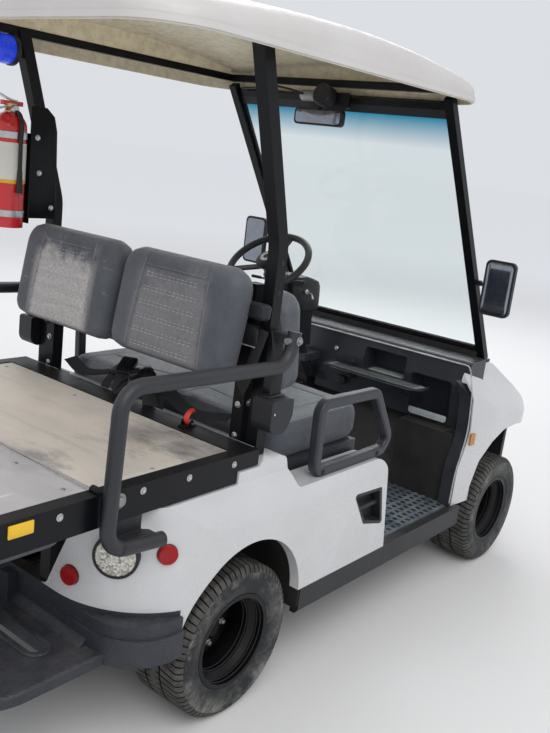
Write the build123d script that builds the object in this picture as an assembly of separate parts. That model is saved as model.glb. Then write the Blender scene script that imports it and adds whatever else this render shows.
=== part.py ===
"""Four-seat electric utility vehicle with a canopy, a raked windshield and a cargo deck whose back
half flips forward into a rear-facing bench.

Millimetres. +X is forward, +Y is left, +Z is up. The origin is on the ground under the middle of
the vehicle's length and width. Every x below is measured from the rear axle and moved once, on
export, by rear_axle_x.
"""
from build123d import *
from math import sin, cos, asin, radians, degrees, hypot
import os

# Overall
wheelbase = 1600.0
rear_reach = 975.0                 # rear axle to the end of the cargo deck
front_reach = 390.0                # front axle to the face of the front bumper
length = rear_reach + wheelbase + front_reach
rear_axle_x = rear_reach - length / 2
front_axle_x = wheelbase
body_half = 592.0                  # half width of the bodywork
skin = 5.0                         # moulded body wall
play = 0.5                         # clearance round pieces that drop into a hole
seat_gap = 0.3                     # clearance between pieces that rest on each other

# Wheels, 205/50-10 on steel rims
tyre_r = 229.5
tyre_w = 205.0
rim_r = 142.0
bead_r = 134.0
rim_w = 184.0
rim_wall = 5.0
flange_t = 4.0
rear_wheel_y = body_half - 120
front_wheel_y = body_half - 89
disc_inset = 22.0                  # mounting face inboard of the wheel's middle
hub_r = 40.0
hub_len = 45.0
cap_r = 30.0
cap_len = 34.0
lug_count = 4
lug_start = 0.0                    # first lug nut from the level, degrees
lug_circle = 50.8
spindle_r = 15.0
running = 0.05                     # radial clearance of a running fit

# Chassis
rail_w = 50.0
rail_h = 76.0
rail_y = 230.0
rail_z = 222.0                     # underside of the rails amidships
rear_rise = 118.0                  # the rails kick up over the rear axle
kick_x = 262.0
chassis_rear_x = -420.0
chassis_front_x = wheelbase + 300.0
cross_w = 40.0
deck_leg_x = (-395.0, 20.0)

# Axles, springs and steering
axle_r = 38.0
drum_r = 88.0
spring_w = 50.0
spring_half = 255.0
beam_z = 160.0
beam_h = 40.0
beam_w = 44.0
kingpin_y = front_wheel_y - 103
kingpin_r = 10.0
boss_r = 18.0
boss_half = 43.0
ear_t = 26.0
ear_gap = 1.0
arm_back = 110.0
arm_in = 28.0
arm_w = 20.0
arm_t = 12.0
arm_drop = 24.0                    # arm below the wheel centre
rack_z = 180.0
rack_r = 10.0
rack_half = 330.0
rack_case_r = 20.0
rack_case_half = 190.0

# Floor and sills
floor_z = 312.0
floor_t = 6.0
mat_t = 5.0
sill_z = 318.0
sill_low = 228.0
sill_front_x = 1300.0
firewall_x = 1284.0
toe_x = 1430.0
toe_z = 600.0
well_y = 285.0                     # inboard wall of the front wheel wells
well_front_x = wheelbase + 312.0

# Rear body
quarter_x = -432.0
corner_r = 290.0                   # in plan, between the tail and the sides
shoulder_in = 46.0                 # the sides lean in by this under the deck
body_top_z = 712.0
shelf_top_z = 757.0
shelf_front_x = 160.0
side_top_z = 660.0
side_front_x = 716.0
bumper_top_z = 424.0
bumper_low_z = 300.0
arch_r = 245.0
arch_z = 303.0
flange_in = 34.0                   # depth of the return flange round the arch
liner_r = arch_r + 14              # outside of the rear wheel liners
rear_gap_top = 400.0               # half width of the opening in the tail, at the deck
rear_gap_low = 258.0

# Step behind the tail
step_z = 330.0
step_t = 30.0
step_half = 492.0
step_end = -830.0
step_corner = 190.0
bumper_corner_r = 160.0
bumper_ledge_z = 410.0             # top of the bumper's outer band
bumper_crease_z = 374.0
crease = 7.0
step_round = 10.0
cove_r = 26.0                      # where the step sweeps up into the bumper
lip_w = 16.0                       # raised lip round the step's slots
lip_h = 6.0
slot_y = (140.0, 390.0)
slot_x = -532.0
slot_w = 48.0
step_arm_y = 115.0                 # the step's two arms, on the rear cross member

# Cargo deck
deck_z = 796.0
deck_in = 51.0                     # deck inside the body's side
deck_half = body_half - deck_in
deck_front_x = -43.0
seam_x = -507.0
rail_deep = 80.0
rail_wide = 40.0
front_bar_x = 40.0
front_bar_low = 751.0
panel_t = 9.0
panel_low = 3.0                    # panel face below the rail tops
seam_gap = 4.0
hinge_rise = 3.0                   # hinge axis above the deck face
hinge_pin_r = 5.0
knuckle_r = 10.0
knuckle_play = 2.0
knuckle_y = (deck_half - 35, deck_half - 26, deck_half - 14, deck_half - 5)   # their ends, on each side rail

# Seat-back frame, roof posts and canopy
post_x = 75.0
post_y = 433.0
post_w = 40.0
post_top = 1235.0
strut_y = 487.0
strut_w = 38.0
strut_foot = (85.0, 758.0)
strut_knee = (85.0, 1345.0)
strut_head = (-73.0, 1845.0)
roof_rail_z = 1836.0
roof_rail_w = 25.0
roof_rear_x = -480.0
roof_front_x = 960.0
roof_half = 600.0
roof_edge_z = 1812.0
roof_side_z = 1900.0
roof_top_z = 1972.0
roof_front_z = 1915.0              # crown of the roof at its ends
roof_corner = 165.0
roof_bend = 44.0                   # rounding between the crown and the sides
roof_skin = 5.0
drip_h = 14.0                      # proud band along the roof's lower edge
drip_out = 4.0

# Beacon and extinguisher on the left strut
beacon_x = -88.0
beacon_z = 1790.0
bottle_x = -98.0
bottle_r = 52.0

# Windshield
screen_y = body_half - 114
screen_w = 32.0
screen_foot = (1517.0, 875.0)
screen_head = (895.0, 1845.0)
glass_t = 5.0

# Cowl, dash and nose
cowl_rear_x = 1270.0
cowl_top_z = 862.0
nose_x = 1960.0
fender_z = 765.0                   # corner of the fender's section at cowl_rear_x
cowl_in = 26.0                     # the cowl's sides lean in by this at its rear
nose_flat = body_half - 292                  # half width of the flat of the nose
head_y = body_half - 207
head_z = 560.0
head_r = 62.0
cowl_half = body_half - 94                  # half width of the raised middle of the cowl
fender_drop = 0.28                 # fall of the fender tops towards the nose
dash_x = 1345.0
dash_half = body_half - 77
dash_low = 604.0
dash_top = 884.0
pocket_lip = 24.0
pocket_round = 14.0
dash_pockets = [  # y from and to, z from and to, depth
    (-455.0, -268.0, 616.0, 790.0, 95.0),
    (-235.0, -30.0, 740.0, 840.0, 80.0),
    (340.0, 480.0, 740.0, 840.0, 80.0),
]
cheek_half = body_half - 32        # outside of the dash cheeks
cheek_depth = 40.0
cheek_drop = 26.0                  # room under the cowl's shoulder
cheek_wrap = 12.0                  # edge of the cheeks that shows outside the cowl
cheek_rear = [(1206, 858, 3), (1286, 758, 60), (1308, 611, 130), (1258, 470, 90), (1254, sill_z + seat_gap, 0)]
cowl_open_x = screen_foot[0] - 46  # the cowl is open behind this, for the dash

# Steering wheel and column
wheel_centre = (945.0, 240.0, 1160.0)
column_tilt = 53.0                 # column above the horizontal, degrees
wheel_ring_r = 166.0
wheel_grip_r = 14.0
shaft_r = 11.0
shaft_len = 640.0
case_r = 24.0
column_grip = 520.0                # along the column, to its bracket on the dash

# Seats
cushion_x = (176.0, 668.0)
cushion_y = 470.0
cushion_z = (692.0, 812.0)
back_w = 444.0
front_back_w = 478.0
back_mid_y = 238.0
front_back_mid_y = 242.0
rear_back_z = (988.0, 1278.0)
front_back_z = (925.0, 1210.0)
rear_pad_x = (-76.0, -24.0, 76.0)  # rear face at the foot and head, and thickness
front_pad_x = (160.0, 118.0, 112.0)
bench_t = 96.0


def tidy(shape):
    """The whole vehicle is drawn from the rear axle and moved once, here."""
    solids = [Pos(rear_axle_x, 0, 0) * solid for solid in shape.solids()]
    return solids[0] if len(solids) == 1 else Compound(children=solids)


def area(points, radius=0):
    face = make_face(Polyline(*points, close=True))
    return fillet(face.vertices(), radius) if radius else face


def rounded(corners):
    """A face from corners given as (a, b, radius)."""
    face = make_face(Polyline(*[(a, b) for a, b, _ in corners], close=True))
    for a, b, radius in corners:
        if radius:
            face = fillet(face.vertices().sort_by_distance((a, b, 0))[0], radius)
    return face


def side_prism(face, y0, y1):
    """A face drawn in x and z, between two y values."""
    plane = Plane(origin=(0, y0, 0), x_dir=(1, 0, 0), z_dir=(0, -1, 0))
    return extrude(plane * face, amount=y0 - y1)


def plan_prism(face, z0, z1):
    return extrude(Pos(0, 0, z0) * face, amount=z1 - z0)


def front_prism(face, x0, x1):
    """A face drawn in y and z, between two x values."""
    return extrude(Plane(origin=(x0, 0, 0), x_dir=(0, 1, 0), z_dir=(1, 0, 0)) * face, amount=x1 - x0)


def block(x0, x1, y0, y1, z0, z1):
    return Pos((x0 + x1) / 2, (y0 + y1) / 2, (z0 + z1) / 2) * Box(x1 - x0, y1 - y0, z1 - z0)


def rod(start, end, radius):
    a, b = Vector(*start), Vector(*end)
    return Plane(origin=a, z_dir=b - a) * Cylinder(
        radius, (b - a).length, align=(Align.CENTER, Align.CENTER, Align.MIN))


def cross_rod(x, z, y0, y1, radius):
    return rod((x, y0, z), (x, y1, z), radius)


def bar(start, end, wide, deep, up=(0, 1, 0)):
    """A square or flat bar between two points. wide lies along up."""
    a, b = Vector(*start), Vector(*end)
    plane = Plane(origin=a, x_dir=Vector(*up), z_dir=b - a)
    return extrude(plane * Rectangle(wide, deep), amount=(b - a).length)


def square_tube(points, wide, bend):
    path = FilletPolyline(*points, radius=bend)
    return sweep(Plane(origin=path @ 0, x_dir=(0, 1, 0), z_dir=path % 0) * Rectangle(wide, wide), path=path)


def mirrored(shape):
    return [shape, mirror(shape, about=Plane.XZ)]


def both(shape):
    """The left and right copies of a piece, as solids that don't touch."""
    return Compound(children=[s for copy in mirrored(shape) for s in copy.solids()])


def fused(*shapes):
    whole = shapes[0]
    for shape in shapes[1:]:
        whole = whole + shape
    return whole


parts = {}


def wheel_profile_tyre():
    """The tyre's section: bead, bulged wall, rounded shoulder and a slightly crowned tread."""
    half = tyre_w / 2
    fit = bead_r + seat_gap
    bead_half = rim_w / 2 - flange_t - seat_gap
    points = [(-bead_half, fit), (-bead_half, rim_r + 1.5), (-half + 1, rim_r + 18), (-half, rim_r + 36),
              (-half + 6, tyre_r - 22), (-half + 22, tyre_r - 4), (-half + 42, tyre_r - 0.8), (0, tyre_r)]
    mirror_side = [(-y, r) for y, r in reversed(points[:-1])]
    return area(points + mirror_side)


def spun(face, x, y, z):
    """Revolves a face drawn as (y, radius) about a wheel's axle."""
    plane = Plane(origin=(x, y, z), x_dir=(0, 1, 0), z_dir=(-1, 0, 0))
    return revolve(plane * face, axis=Axis((x, y, z), (0, 1, 0)))


def tyre(x, y):
    return spun(wheel_profile_tyre(), x, y, tyre_r)


def rim(x, y, cap_reach):
    """Steel rim: barrel with a drop centre, stepped disc set deep, hub, cap and lug nuts.
    Drawn for the left side, with +y outboard, and mirrored for the right."""
    half = rim_w / 2
    inner = bead_r - rim_wall
    drop = 16.0
    barrel = [(-half, rim_r), (-half + flange_t, rim_r), (-half + flange_t, bead_r), (-half + 30, bead_r),
              (-half + 46, bead_r - drop), (half - 46, bead_r - drop), (half - 30, bead_r),
              (half - flange_t, bead_r), (half - flange_t, rim_r), (half, rim_r), (half, inner),
              (half - 31, inner), (half - 47, inner - drop), (-half + 47, inner - drop), (-half + 31, inner),
              (-half, inner)]
    wall = inner - drop
    face = -disc_inset
    disc = [(face - 14, wall + 1), (face - 14, wall - 10), (face + 2, wall - 16), (face + 2, 84),
            (face + 9, 80), (face + 9, 66), (face, 62), (face, hub_r - 1), (face - 6, hub_r - 1),
            (face - 6, 60), (face + 3, 68), (face + 3, 78), (face - 4, 82), (face - 4, wall - 18),
            (face - 20, wall - 12), (face - 20, wall + 1)]
    bore = spindle_r + running
    hub = [(face - hub_len, bore), (face - hub_len, hub_r), (face + 4, hub_r), (face + 10, cap_r),
           (face + cap_reach - 5, cap_r - 3), (face + cap_reach, cap_r - 9), (face + cap_reach, 0),
           (face + 14, 0), (face + 14, bore)]
    sign = 1 if y > 0 else -1
    shape = fused(*[spun(area(p), x, abs(y), tyre_r) for p in (barrel, disc, hub)])
    for i in range(lug_count):
        angle = radians(lug_start + 360 / lug_count * i)
        at = (x + lug_circle * cos(angle), tyre_r + lug_circle * sin(angle))
        shape = shape + cross_rod(at[0], at[1], abs(y) + face - 3, abs(y) + face + 16, 9.5)
    return shape if sign > 0 else mirror(shape, about=Plane.XZ)


def make_wheels():
    corners = {"rear_left": (0, rear_wheel_y), "rear_right": (0, -rear_wheel_y),
               "front_left": (front_axle_x, front_wheel_y), "front_right": (front_axle_x, -front_wheel_y)}
    for name, (x, y) in corners.items():
        parts[name + "_tyre"] = tyre(x, y)
        parts[name + "_rim"] = rim(x, y, cap_len)


def rail_box(x0, x1, z0, side):
    return block(x0, x1, side * rail_y - rail_w / 2, side * rail_y + rail_w / 2, z0, z0 + rail_h)


def make_chassis():
    rear_z = rail_z + rear_rise
    shapes = []
    for side in (1, -1):
        shapes += [rail_box(kick_x - rail_w, chassis_front_x, rail_z, side),
                   rail_box(chassis_rear_x, kick_x, rear_z, side),
                   block(kick_x - rail_w, kick_x, side * rail_y - rail_w / 2, side * rail_y + rail_w / 2,
                         rail_z, rear_z + rail_h)]
        for leg_x in deck_leg_x:
            shapes.append(block(leg_x - 20, leg_x + 20, side * rail_y - 20, side * rail_y + 20,
                                rear_z + rail_h - 2, deck_z - rail_deep - seat_gap))
    half = rail_y - rail_w / 2 + 2
    for x, z in ((chassis_rear_x, rear_z), (140, rear_z), (700, rail_z), (1180, rail_z),
                 (chassis_front_x - cross_w, rail_z)):
        shapes.append(block(x, x + cross_w, -half, half, z + 6, z + rail_h - 6))
    for x in (320, 760, 1190):
        for side in (1, -1):
            inner, outer = side * (rail_y + rail_w / 2 - 2), side * (body_half - 34)
            shapes.append(block(x, x + 36, min(inner, outer), max(inner, outer), rail_z + 20,
                                floor_z - floor_t - seat_gap))
    parts["chassis_frame"] = fused(*shapes)


def leaf(x, z_ends, z_mid, side, half, thick, wide, y):
    """One bowed leaf pack, its ends higher than its middle."""
    lower = [Line((x - half, z_ends), (x - half, z_ends - thick)),
             ThreePointArc((x - half, z_ends - thick), (x, z_mid - thick), (x + half, z_ends - thick)),
             Line((x + half, z_ends - thick), (x + half, z_ends)),
             ThreePointArc((x + half, z_ends), (x, z_mid), (x - half, z_ends))]
    face = make_face(Wire(lower))
    return side_prism(face, side * y + wide / 2, side * y - wide / 2)


def make_rear_axle():
    stub = rear_wheel_y - disc_inset + 10
    shapes = [cross_rod(0, tyre_r, -stub, stub, spindle_r),
              cross_rod(0, tyre_r, 117 - rear_wheel_y, rear_wheel_y - 117, axle_r)]
    gear = revolve(Plane(origin=(0, 0, tyre_r), x_dir=(0, 1, 0), z_dir=(-1, 0, 0)) * area(
        [(-70, 0), (-70, 60), (-40, 92), (40, 92), (70, 60), (70, 0)]), axis=Axis((0, 0, tyre_r), (0, 1, 0)))
    motor = rod((70, 0, tyre_r + 10), (250, 0, tyre_r + 30), 78)
    shapes += [gear, motor]
    for side in (1, -1):
        drum = spun(area([(0, 0), (0, drum_r - 8), (8, drum_r), (36, drum_r), (36, 0)]), 0,
                    side * (rear_wheel_y - 99) - 18, tyre_r)
        shapes.append(drum)
    parts["rear_axle"] = fused(*shapes)
    y = rail_y + rail_w / 2 + 4 + spring_w / 2
    top = tyre_r + axle_r + seat_gap
    packs = []
    for side in (1, -1):
        spring = leaf(0, top + 56, top + 14, side, spring_half, 13.5, spring_w, y)
        for end in (-1, 1):
            eye = end * (spring_half - 12)
            low, high = side * (rail_y + rail_w / 2 + seat_gap), side * (y + spring_w / 2)
            spring = spring + block(eye - 14, eye + 14, min(low, high), max(low, high), top + 44, top + 92)
        packs.append(spring)
    return packs


def make_front_axle(packs):
    x, z = front_axle_x, tyre_r
    shapes = [block(x - beam_w / 2, x + beam_w / 2, 48 - kingpin_y, kingpin_y - 48, beam_z, beam_z + beam_h)]
    low_top, high_low = z - boss_half - ear_gap, z + boss_half + ear_gap
    for side in (1, -1):
        web = (side * (kingpin_y - 52), side * (kingpin_y - 32))
        shapes.append(block(x - 10, x + 10, min(web), max(web), low_top - ear_t, high_low + ear_t))
        for z0, z1 in ((low_top - ear_t, low_top), (high_low, high_low + ear_t)):
            reach = (side * (kingpin_y - 50), side * kingpin_y)
            shapes.append(block(x - boss_r, x + boss_r, min(reach), max(reach), z0, z1))
            shapes.append(rod((x, side * kingpin_y, z0), (x, side * kingpin_y, z1), boss_r))
        shapes.append(rod((x, side * kingpin_y, low_top - 1), (x, side * kingpin_y, high_low + 1), kingpin_r))
    parts["front_axle"] = fused(*shapes)
    for side in (1, -1):
        top = rail_z - seat_gap
        spring = block(x - 200, x + 200, side * rail_y - 22, side * rail_y + 22, beam_z + beam_h + seat_gap,
                       beam_z + beam_h + 12)
        for end in (-1, 1):
            spring = spring + block(x + end * 185 - 15, x + end * 185 + 15, side * rail_y - 22, side * rail_y + 22,
                                    beam_z + beam_h + 10, top)
        packs.append(spring)
    parts["leaf_springs"] = Compound(children=[s for pack in packs for s in pack.solids()])


def make_steering():
    x, z = front_axle_x, tyre_r
    stub = front_wheel_y - disc_inset + 10
    knuckle = rod((x, kingpin_y, z - boss_half), (x, kingpin_y, z + boss_half), boss_r)
    knuckle = knuckle + cross_rod(x, z, kingpin_y, stub, spindle_r)
    arm_z = z - arm_drop
    tip = (x - arm_back, kingpin_y - arm_in, arm_z)
    knuckle = knuckle + bar((x, kingpin_y, arm_z), tip, arm_t, arm_w, up=(0, 0, 1))
    knuckle = knuckle + rod((tip[0], tip[1], arm_z - arm_t / 2), (tip[0], tip[1], arm_z + arm_t / 2), 14)
    hole = rod((x, kingpin_y, z - boss_half - 1), (x, kingpin_y, z + boss_half + 1), kingpin_r + running)
    knuckle = knuckle - hole
    parts["left_knuckle"] = knuckle
    parts["right_knuckle"] = mirror(knuckle, about=Plane.XZ)
    rack_x = x - arm_back
    rack = cross_rod(rack_x, rack_z, -rack_half, rack_half, rack_r)
    for side in (1, -1):
        rack = rack + Pos(rack_x, side * rack_half, rack_z) * Sphere(rack_r + 4)
    parts["steering_rack"] = rack
    case = cross_rod(rack_x, rack_z, -rack_case_half, rack_case_half, rack_case_r)
    for side in (1, -1):
        mid = side * (rail_y - 50)
        case = case + block(rack_x - 14, rack_x + 14, mid - 10, mid + 10, rack_z, rail_z + 20)
        edge = side * (rail_y - rail_w / 2 - seat_gap)
        case = case + block(rack_x - 14, rack_x + 14, min(mid, edge), max(mid, edge), rail_z + 2, rail_z + 20)
    case = case - cross_rod(rack_x, rack_z, -rack_case_half - 1, rack_case_half + 1, rack_r + running)
    parts["rack_case"] = case


def column_point(along, off=0.0):
    cx, cy, cz = wheel_centre
    tilt = radians(column_tilt)
    return (cx + along * cos(tilt) + off * sin(tilt), cy, cz - along * sin(tilt) + off * cos(tilt))


def make_column():
    tilt = radians(column_tilt)
    normal = Vector(cos(tilt), 0, -sin(tilt))
    plane = Plane(origin=wheel_centre, x_dir=(0, 1, 0), z_dir=normal)
    ring = plane * Torus(wheel_ring_r, wheel_grip_r)
    hub = rod(column_point(-14), column_point(44), 30)
    wheel = ring + hub
    for angle in (90, 210, 330):
        c, s = cos(radians(angle)), sin(radians(angle))
        out = plane.from_local_coords((wheel_ring_r * c, wheel_ring_r * s, 0))
        wheel = wheel + bar(column_point(16), tuple(out), 24, 9,
                            up=plane.from_local_coords((-s, c, 0)) - plane.origin)
    wheel = wheel + rod(column_point(40), column_point(shaft_len), shaft_r)
    parts["steering_wheel"] = wheel
    case = rod(column_point(52), column_point(shaft_len - 6), case_r) + rod(
        column_point(52), column_point(230), case_r + 14)
    lever = bar(column_point(96), (column_point(96)[0], wheel_centre[1] - 150, column_point(96)[2] + 20), 12, 12,
                up=(0, 0, 1))
    case = case + lever
    case = case - rod(column_point(51), column_point(shaft_len + 10), shaft_r + running)
    parts["steering_column"] = case


def make_floor():
    half = body_half - 34
    pan = block(kick_x + 4, firewall_x, -half, half, floor_z - floor_t, floor_z)
    toe = area([(firewall_x - floor_t, floor_z - floor_t), (firewall_x + 4, floor_z - floor_t),
                (toe_x + 8, toe_z), (toe_x, toe_z + 2), (firewall_x - floor_t, floor_z)])
    pan = pan + side_prism(toe, well_y - 6, -well_y + 6)
    for side in (1, -1):
        y0, y1 = side * (well_y - 8), side * (dash_half - 1 - seat_gap)
        pan = pan + block(firewall_x - floor_t, firewall_x, min(y0, y1), max(y0, y1), floor_z - floor_t, toe_z)
        cheek = area([(firewall_x - floor_t, floor_z - floor_t), (firewall_x + 4, floor_z - floor_t),
                      (toe_x + 8, toe_z), (firewall_x - floor_t, toe_z)])
        y0, y1 = side * (well_y - 12), side * (well_y - 6)
        pan = pan + side_prism(cheek, max(y0, y1), min(y0, y1))
    parts["floor_pan"] = pan
    mat_x = (cushion_x[1] - 14, firewall_x - floor_t - 3)
    parts["floor_mat"] = block(mat_x[0], mat_x[1], -half + 8, half - 8, floor_z + seat_gap, floor_z + mat_t)
    profile = area([(half + 2, sill_z), (body_half - 2, sill_z), (body_half - 2, sill_low + 14),
                    (body_half - 14, sill_low), (half + 2, sill_low)])
    parts["rocker_panels"] = both(front_prism(profile, liner_r + seat_gap, sill_front_x))


def quarter_plan(inset, front_x, radius=corner_r):
    """Plan outline of the rear body: straight sides and two rounded rear corners."""
    half, rear, r = body_half - inset, quarter_x + inset, radius - inset
    return rounded([(front_x, -half, 0), (front_x, half, 0), (rear, half, r), (rear, -half, r)])


def rear_side_profile(inset, low):
    """Side outline: tail, recess under the deck, shelf behind the seat and the sides beside it."""
    i = inset
    return rounded([
        (quarter_x - 60, low, 0), (quarter_x - 60, body_top_z - i, 0), (deck_front_x + 1 + i, body_top_z - i, 0),
        (deck_front_x + 3 + i, front_bar_low - 5 - i, 0), (front_bar_x + 4, front_bar_low - 5 - i, 0),
        (front_bar_x + 8, shelf_top_z - i, 0), (shelf_front_x - i, shelf_top_z - i, 24 - i),
        (shelf_front_x + 30 - i, side_top_z - i, 26 + i), (side_front_x - 48 - i, side_top_z - i, 72 - i),
        (side_front_x + 10 - i, low, 0)])


def shoulder_profile(inset):
    """Section across: upright sides that bend in under the deck's side rails."""
    half, top, in_y = body_half - inset, 900, body_half - inset - shoulder_in
    return rounded([(-half, 200, 0), (-half, 665 - inset, 130 - inset), (-in_y, body_top_z - inset / 2, 0), (-in_y, top, 0),
                    (in_y, top, 0), (in_y, body_top_z - inset / 2, 0), (half, 665 - inset, 130 - inset), (half, 200, 0)])


def rear_form(inset, low):
    front = side_front_x + 40
    form = (plan_prism(quarter_plan(inset, front), low, 900) & side_prism(rear_side_profile(inset, low), 700, -700)
            & front_prism(shoulder_profile(inset), quarter_x - 80, front + 20))
    return form


lamp_spots = [  # name, angle round the rear corner from the tail, height, radius
    ("lamp", 34.5, 578.0, 55.0),
    ("outer", 59.1, 588.0, 25.0),
    ("inner", 10.0, 492.0, 25.0),
]


def lamp_axis(spot, depth):
    """A point on a lamp's axis, at a depth outside the body's right rear corner."""
    name, turn, z, radius = spot
    reach = corner_r + depth
    return (quarter_x + corner_r - reach * cos(radians(turn)), corner_r - body_half - reach * sin(radians(turn)), z)


def arch_cutter(radius, y0, y1, low):
    cut = side_prism(area([(-radius, low), (-radius, arch_z), (radius, arch_z), (radius, low)]), y1, y0)
    return cut + cross_rod(0, arch_z, y0, y1, radius)


def make_rear_body():
    shell = rear_form(0, sill_z) - rear_form(skin, sill_z - 60)
    behind = block(quarter_x - 90, -arch_r, -700, 700, 100, bumper_top_z)
    shell = shell - behind
    shell = shell - block(shelf_front_x + 24, side_front_x + 60, -cushion_y - 12, cushion_y + 12, 300, 900)
    shell = shell - block(quarter_x - 90, deck_front_x - 30, -deck_half + 60, deck_half - 60, body_top_z - 30, 900)
    gap = rounded([(-rear_gap_top, body_top_z + 20, 0), (-rear_gap_low, bumper_top_z, 30),
                   (rear_gap_low, bumper_top_z, 30), (rear_gap_top, body_top_z + 20, 0)])
    shell = shell - front_prism(gap, quarter_x - 60, quarter_x + 60)
    for side in (1, -1):
        y0, y1 = side * 440, side * 700
        shell = shell - arch_cutter(arch_r, min(y0, y1), max(y0, y1), 100)
        vent = area([(488, 566), (655, 556), (690, 414), (566, 446)], 10)
        shell = shell - side_prism(vent, max(y0, y1), min(y0, y1))
    for spot in lamp_spots:
        hole = rod(lamp_axis(spot, -60), lamp_axis(spot, 60), spot[3] + play)
        shell = shell - hole - mirror(hole, about=Plane.XZ)
    flange_y = body_half - flange_in
    flange = arch_cutter(arch_r + skin, flange_y, body_half, sill_z) - arch_cutter(arch_r, flange_y - 1, body_half + 1, 100)
    flange = (flange - block(-arch_r - 40, 0, 0, 700, 100, bumper_top_z)) & rear_form(0, sill_z)
    for copy in mirrored(flange):
        shell = shell + copy
    parts["rear_body"] = shell
    vent_y = body_half - 38
    vents = []
    pocket = side_prism(area([(494, 560), (649, 551), (683, 420), (570, 451)], 8), body_half - 8, vent_y)
    cavity = side_prism(area([(500, 554), (643, 546), (676, 427), (575, 456)], 6), body_half, vent_y + 4)
    slat = block(520, 672, body_half - 20, body_half - 12, 492, 506)
    flange = side_prism(area([(488.5, 565.5), (654.5, 555.5), (689.5, 414.5), (566.5, 446.5)], 10),
                        body_half - 0.5, body_half - 8.5)
    vent = (pocket + flange - cavity) + (slat & side_prism(area([(498, 556), (645, 548), (678, 425), (573, 454)]),
                                                           body_half, vent_y))
    parts["side_vents"] = both(vent)
    lamps, reds = [], []
    for spot in lamp_spots:
        lens = rod(lamp_axis(spot, -16), lamp_axis(spot, 12), spot[3])
        (lamps if spot[0] == "lamp" else reds).append(lens)
    parts["clear_lamps"] = both(lamps[0])
    parts["rear_reflectors"] = Compound(children=[s for red in reds for copy in mirrored(red) for s in copy.solids()])


def make_bumper():
    """A hollow corner moulding with a crease and a ledge under the body, and a step with two slots."""
    low, high = bumper_low_z, bumper_top_z - seat_gap
    r = bumper_corner_r
    outer = (plan_prism(quarter_plan(0, 0, r), low, bumper_crease_z)
             + plan_prism(quarter_plan(crease, 0, r), low, bumper_ledge_z) + plan_prism(quarter_plan(0, 0), low, high))
    inner = (plan_prism(quarter_plan(crease + skin, 20, r), low - 1, bumper_ledge_z - skin)
             + plan_prism(quarter_plan(skin, 20), low - 1, bumper_top_z + 1))
    ahead = block(-arch_r - seat_gap, 100, -700, 700, low - 1, bumper_top_z + 1)
    band = outer - inner - ahead
    rear_wall = quarter_x + crease + skin - 1
    plan = make_face(Polyline((rear_wall + 16, -step_half), (step_end, -step_half), (step_end, step_half),
                              (rear_wall + 16, step_half), close=True))
    plan = fillet([v for v in plan.vertices() if v.X < step_end + 1], step_corner)
    step = plan_prism(plan, step_z - step_t, step_z)
    step = fillet([e for e in step.edges().group_by(Axis.Z)[-1] if e.center().X < quarter_x - 5], step_round)
    step = step - plan_prism(quarter_plan(crease + skin, 20, r), low - 1, step_z + 1)
    for side in (1, -1):
        mid = side * (slot_y[0] + slot_y[1]) / 2
        turn = Rot(0, 0, 90)
        lip = Pos(slot_x, mid, step_z - 2) * extrude(
            turn * SlotOverall(slot_y[1] - slot_y[0] + 2 * lip_w, slot_w + 2 * lip_w), amount=lip_h + 2)
        lip = fillet(lip.edges().group_by(Axis.Z)[-1], lip_h - 1)
        slot = Pos(slot_x, mid, step_z - step_t - 1) * extrude(turn * SlotOverall(slot_y[1] - slot_y[0], slot_w),
                                                               amount=step_t + lip_h + 2)
        step = step + lip - slot
    cove = make_face(Wire([Line((quarter_x + 1, step_z - 1), (quarter_x - cove_r, step_z - 1)),
                           ThreePointArc((quarter_x - cove_r, step_z - 1), (quarter_x - 0.29 * cove_r, step_z + 0.29 * cove_r),
                                         (quarter_x + 1, step_z + cove_r)),
                           Line((quarter_x + 1, step_z + cove_r), (quarter_x + 1, step_z - 1))]))
    flat_half = body_half - r
    step = step + side_prism(cove, flat_half, -flat_half)
    for side in (1, -1):
        y, under, end_x = side * step_arm_y, step_z - step_t - 34, chassis_rear_x - seat_gap
        step = step + block(end_x - 300, end_x, y - 20, y + 20, under, step_z - step_t)
        step = step + block(end_x - 40, end_x, y - 20, y + 20, under, rail_z + rear_rise + rail_h - 6)
    parts["rear_bumper"] = band + step


def on_hinge(spans, radius, grow=0.0):
    """Barrels on the flip hinge's axis, over the given spans of y on both sides."""
    barrels = []
    for y0, y1 in spans:
        barrel = cross_rod(seam_x, deck_z + hinge_rise, y0 - grow, y1 + grow, radius)
        barrels += mirrored(barrel)
    return fused(*barrels)


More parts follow.
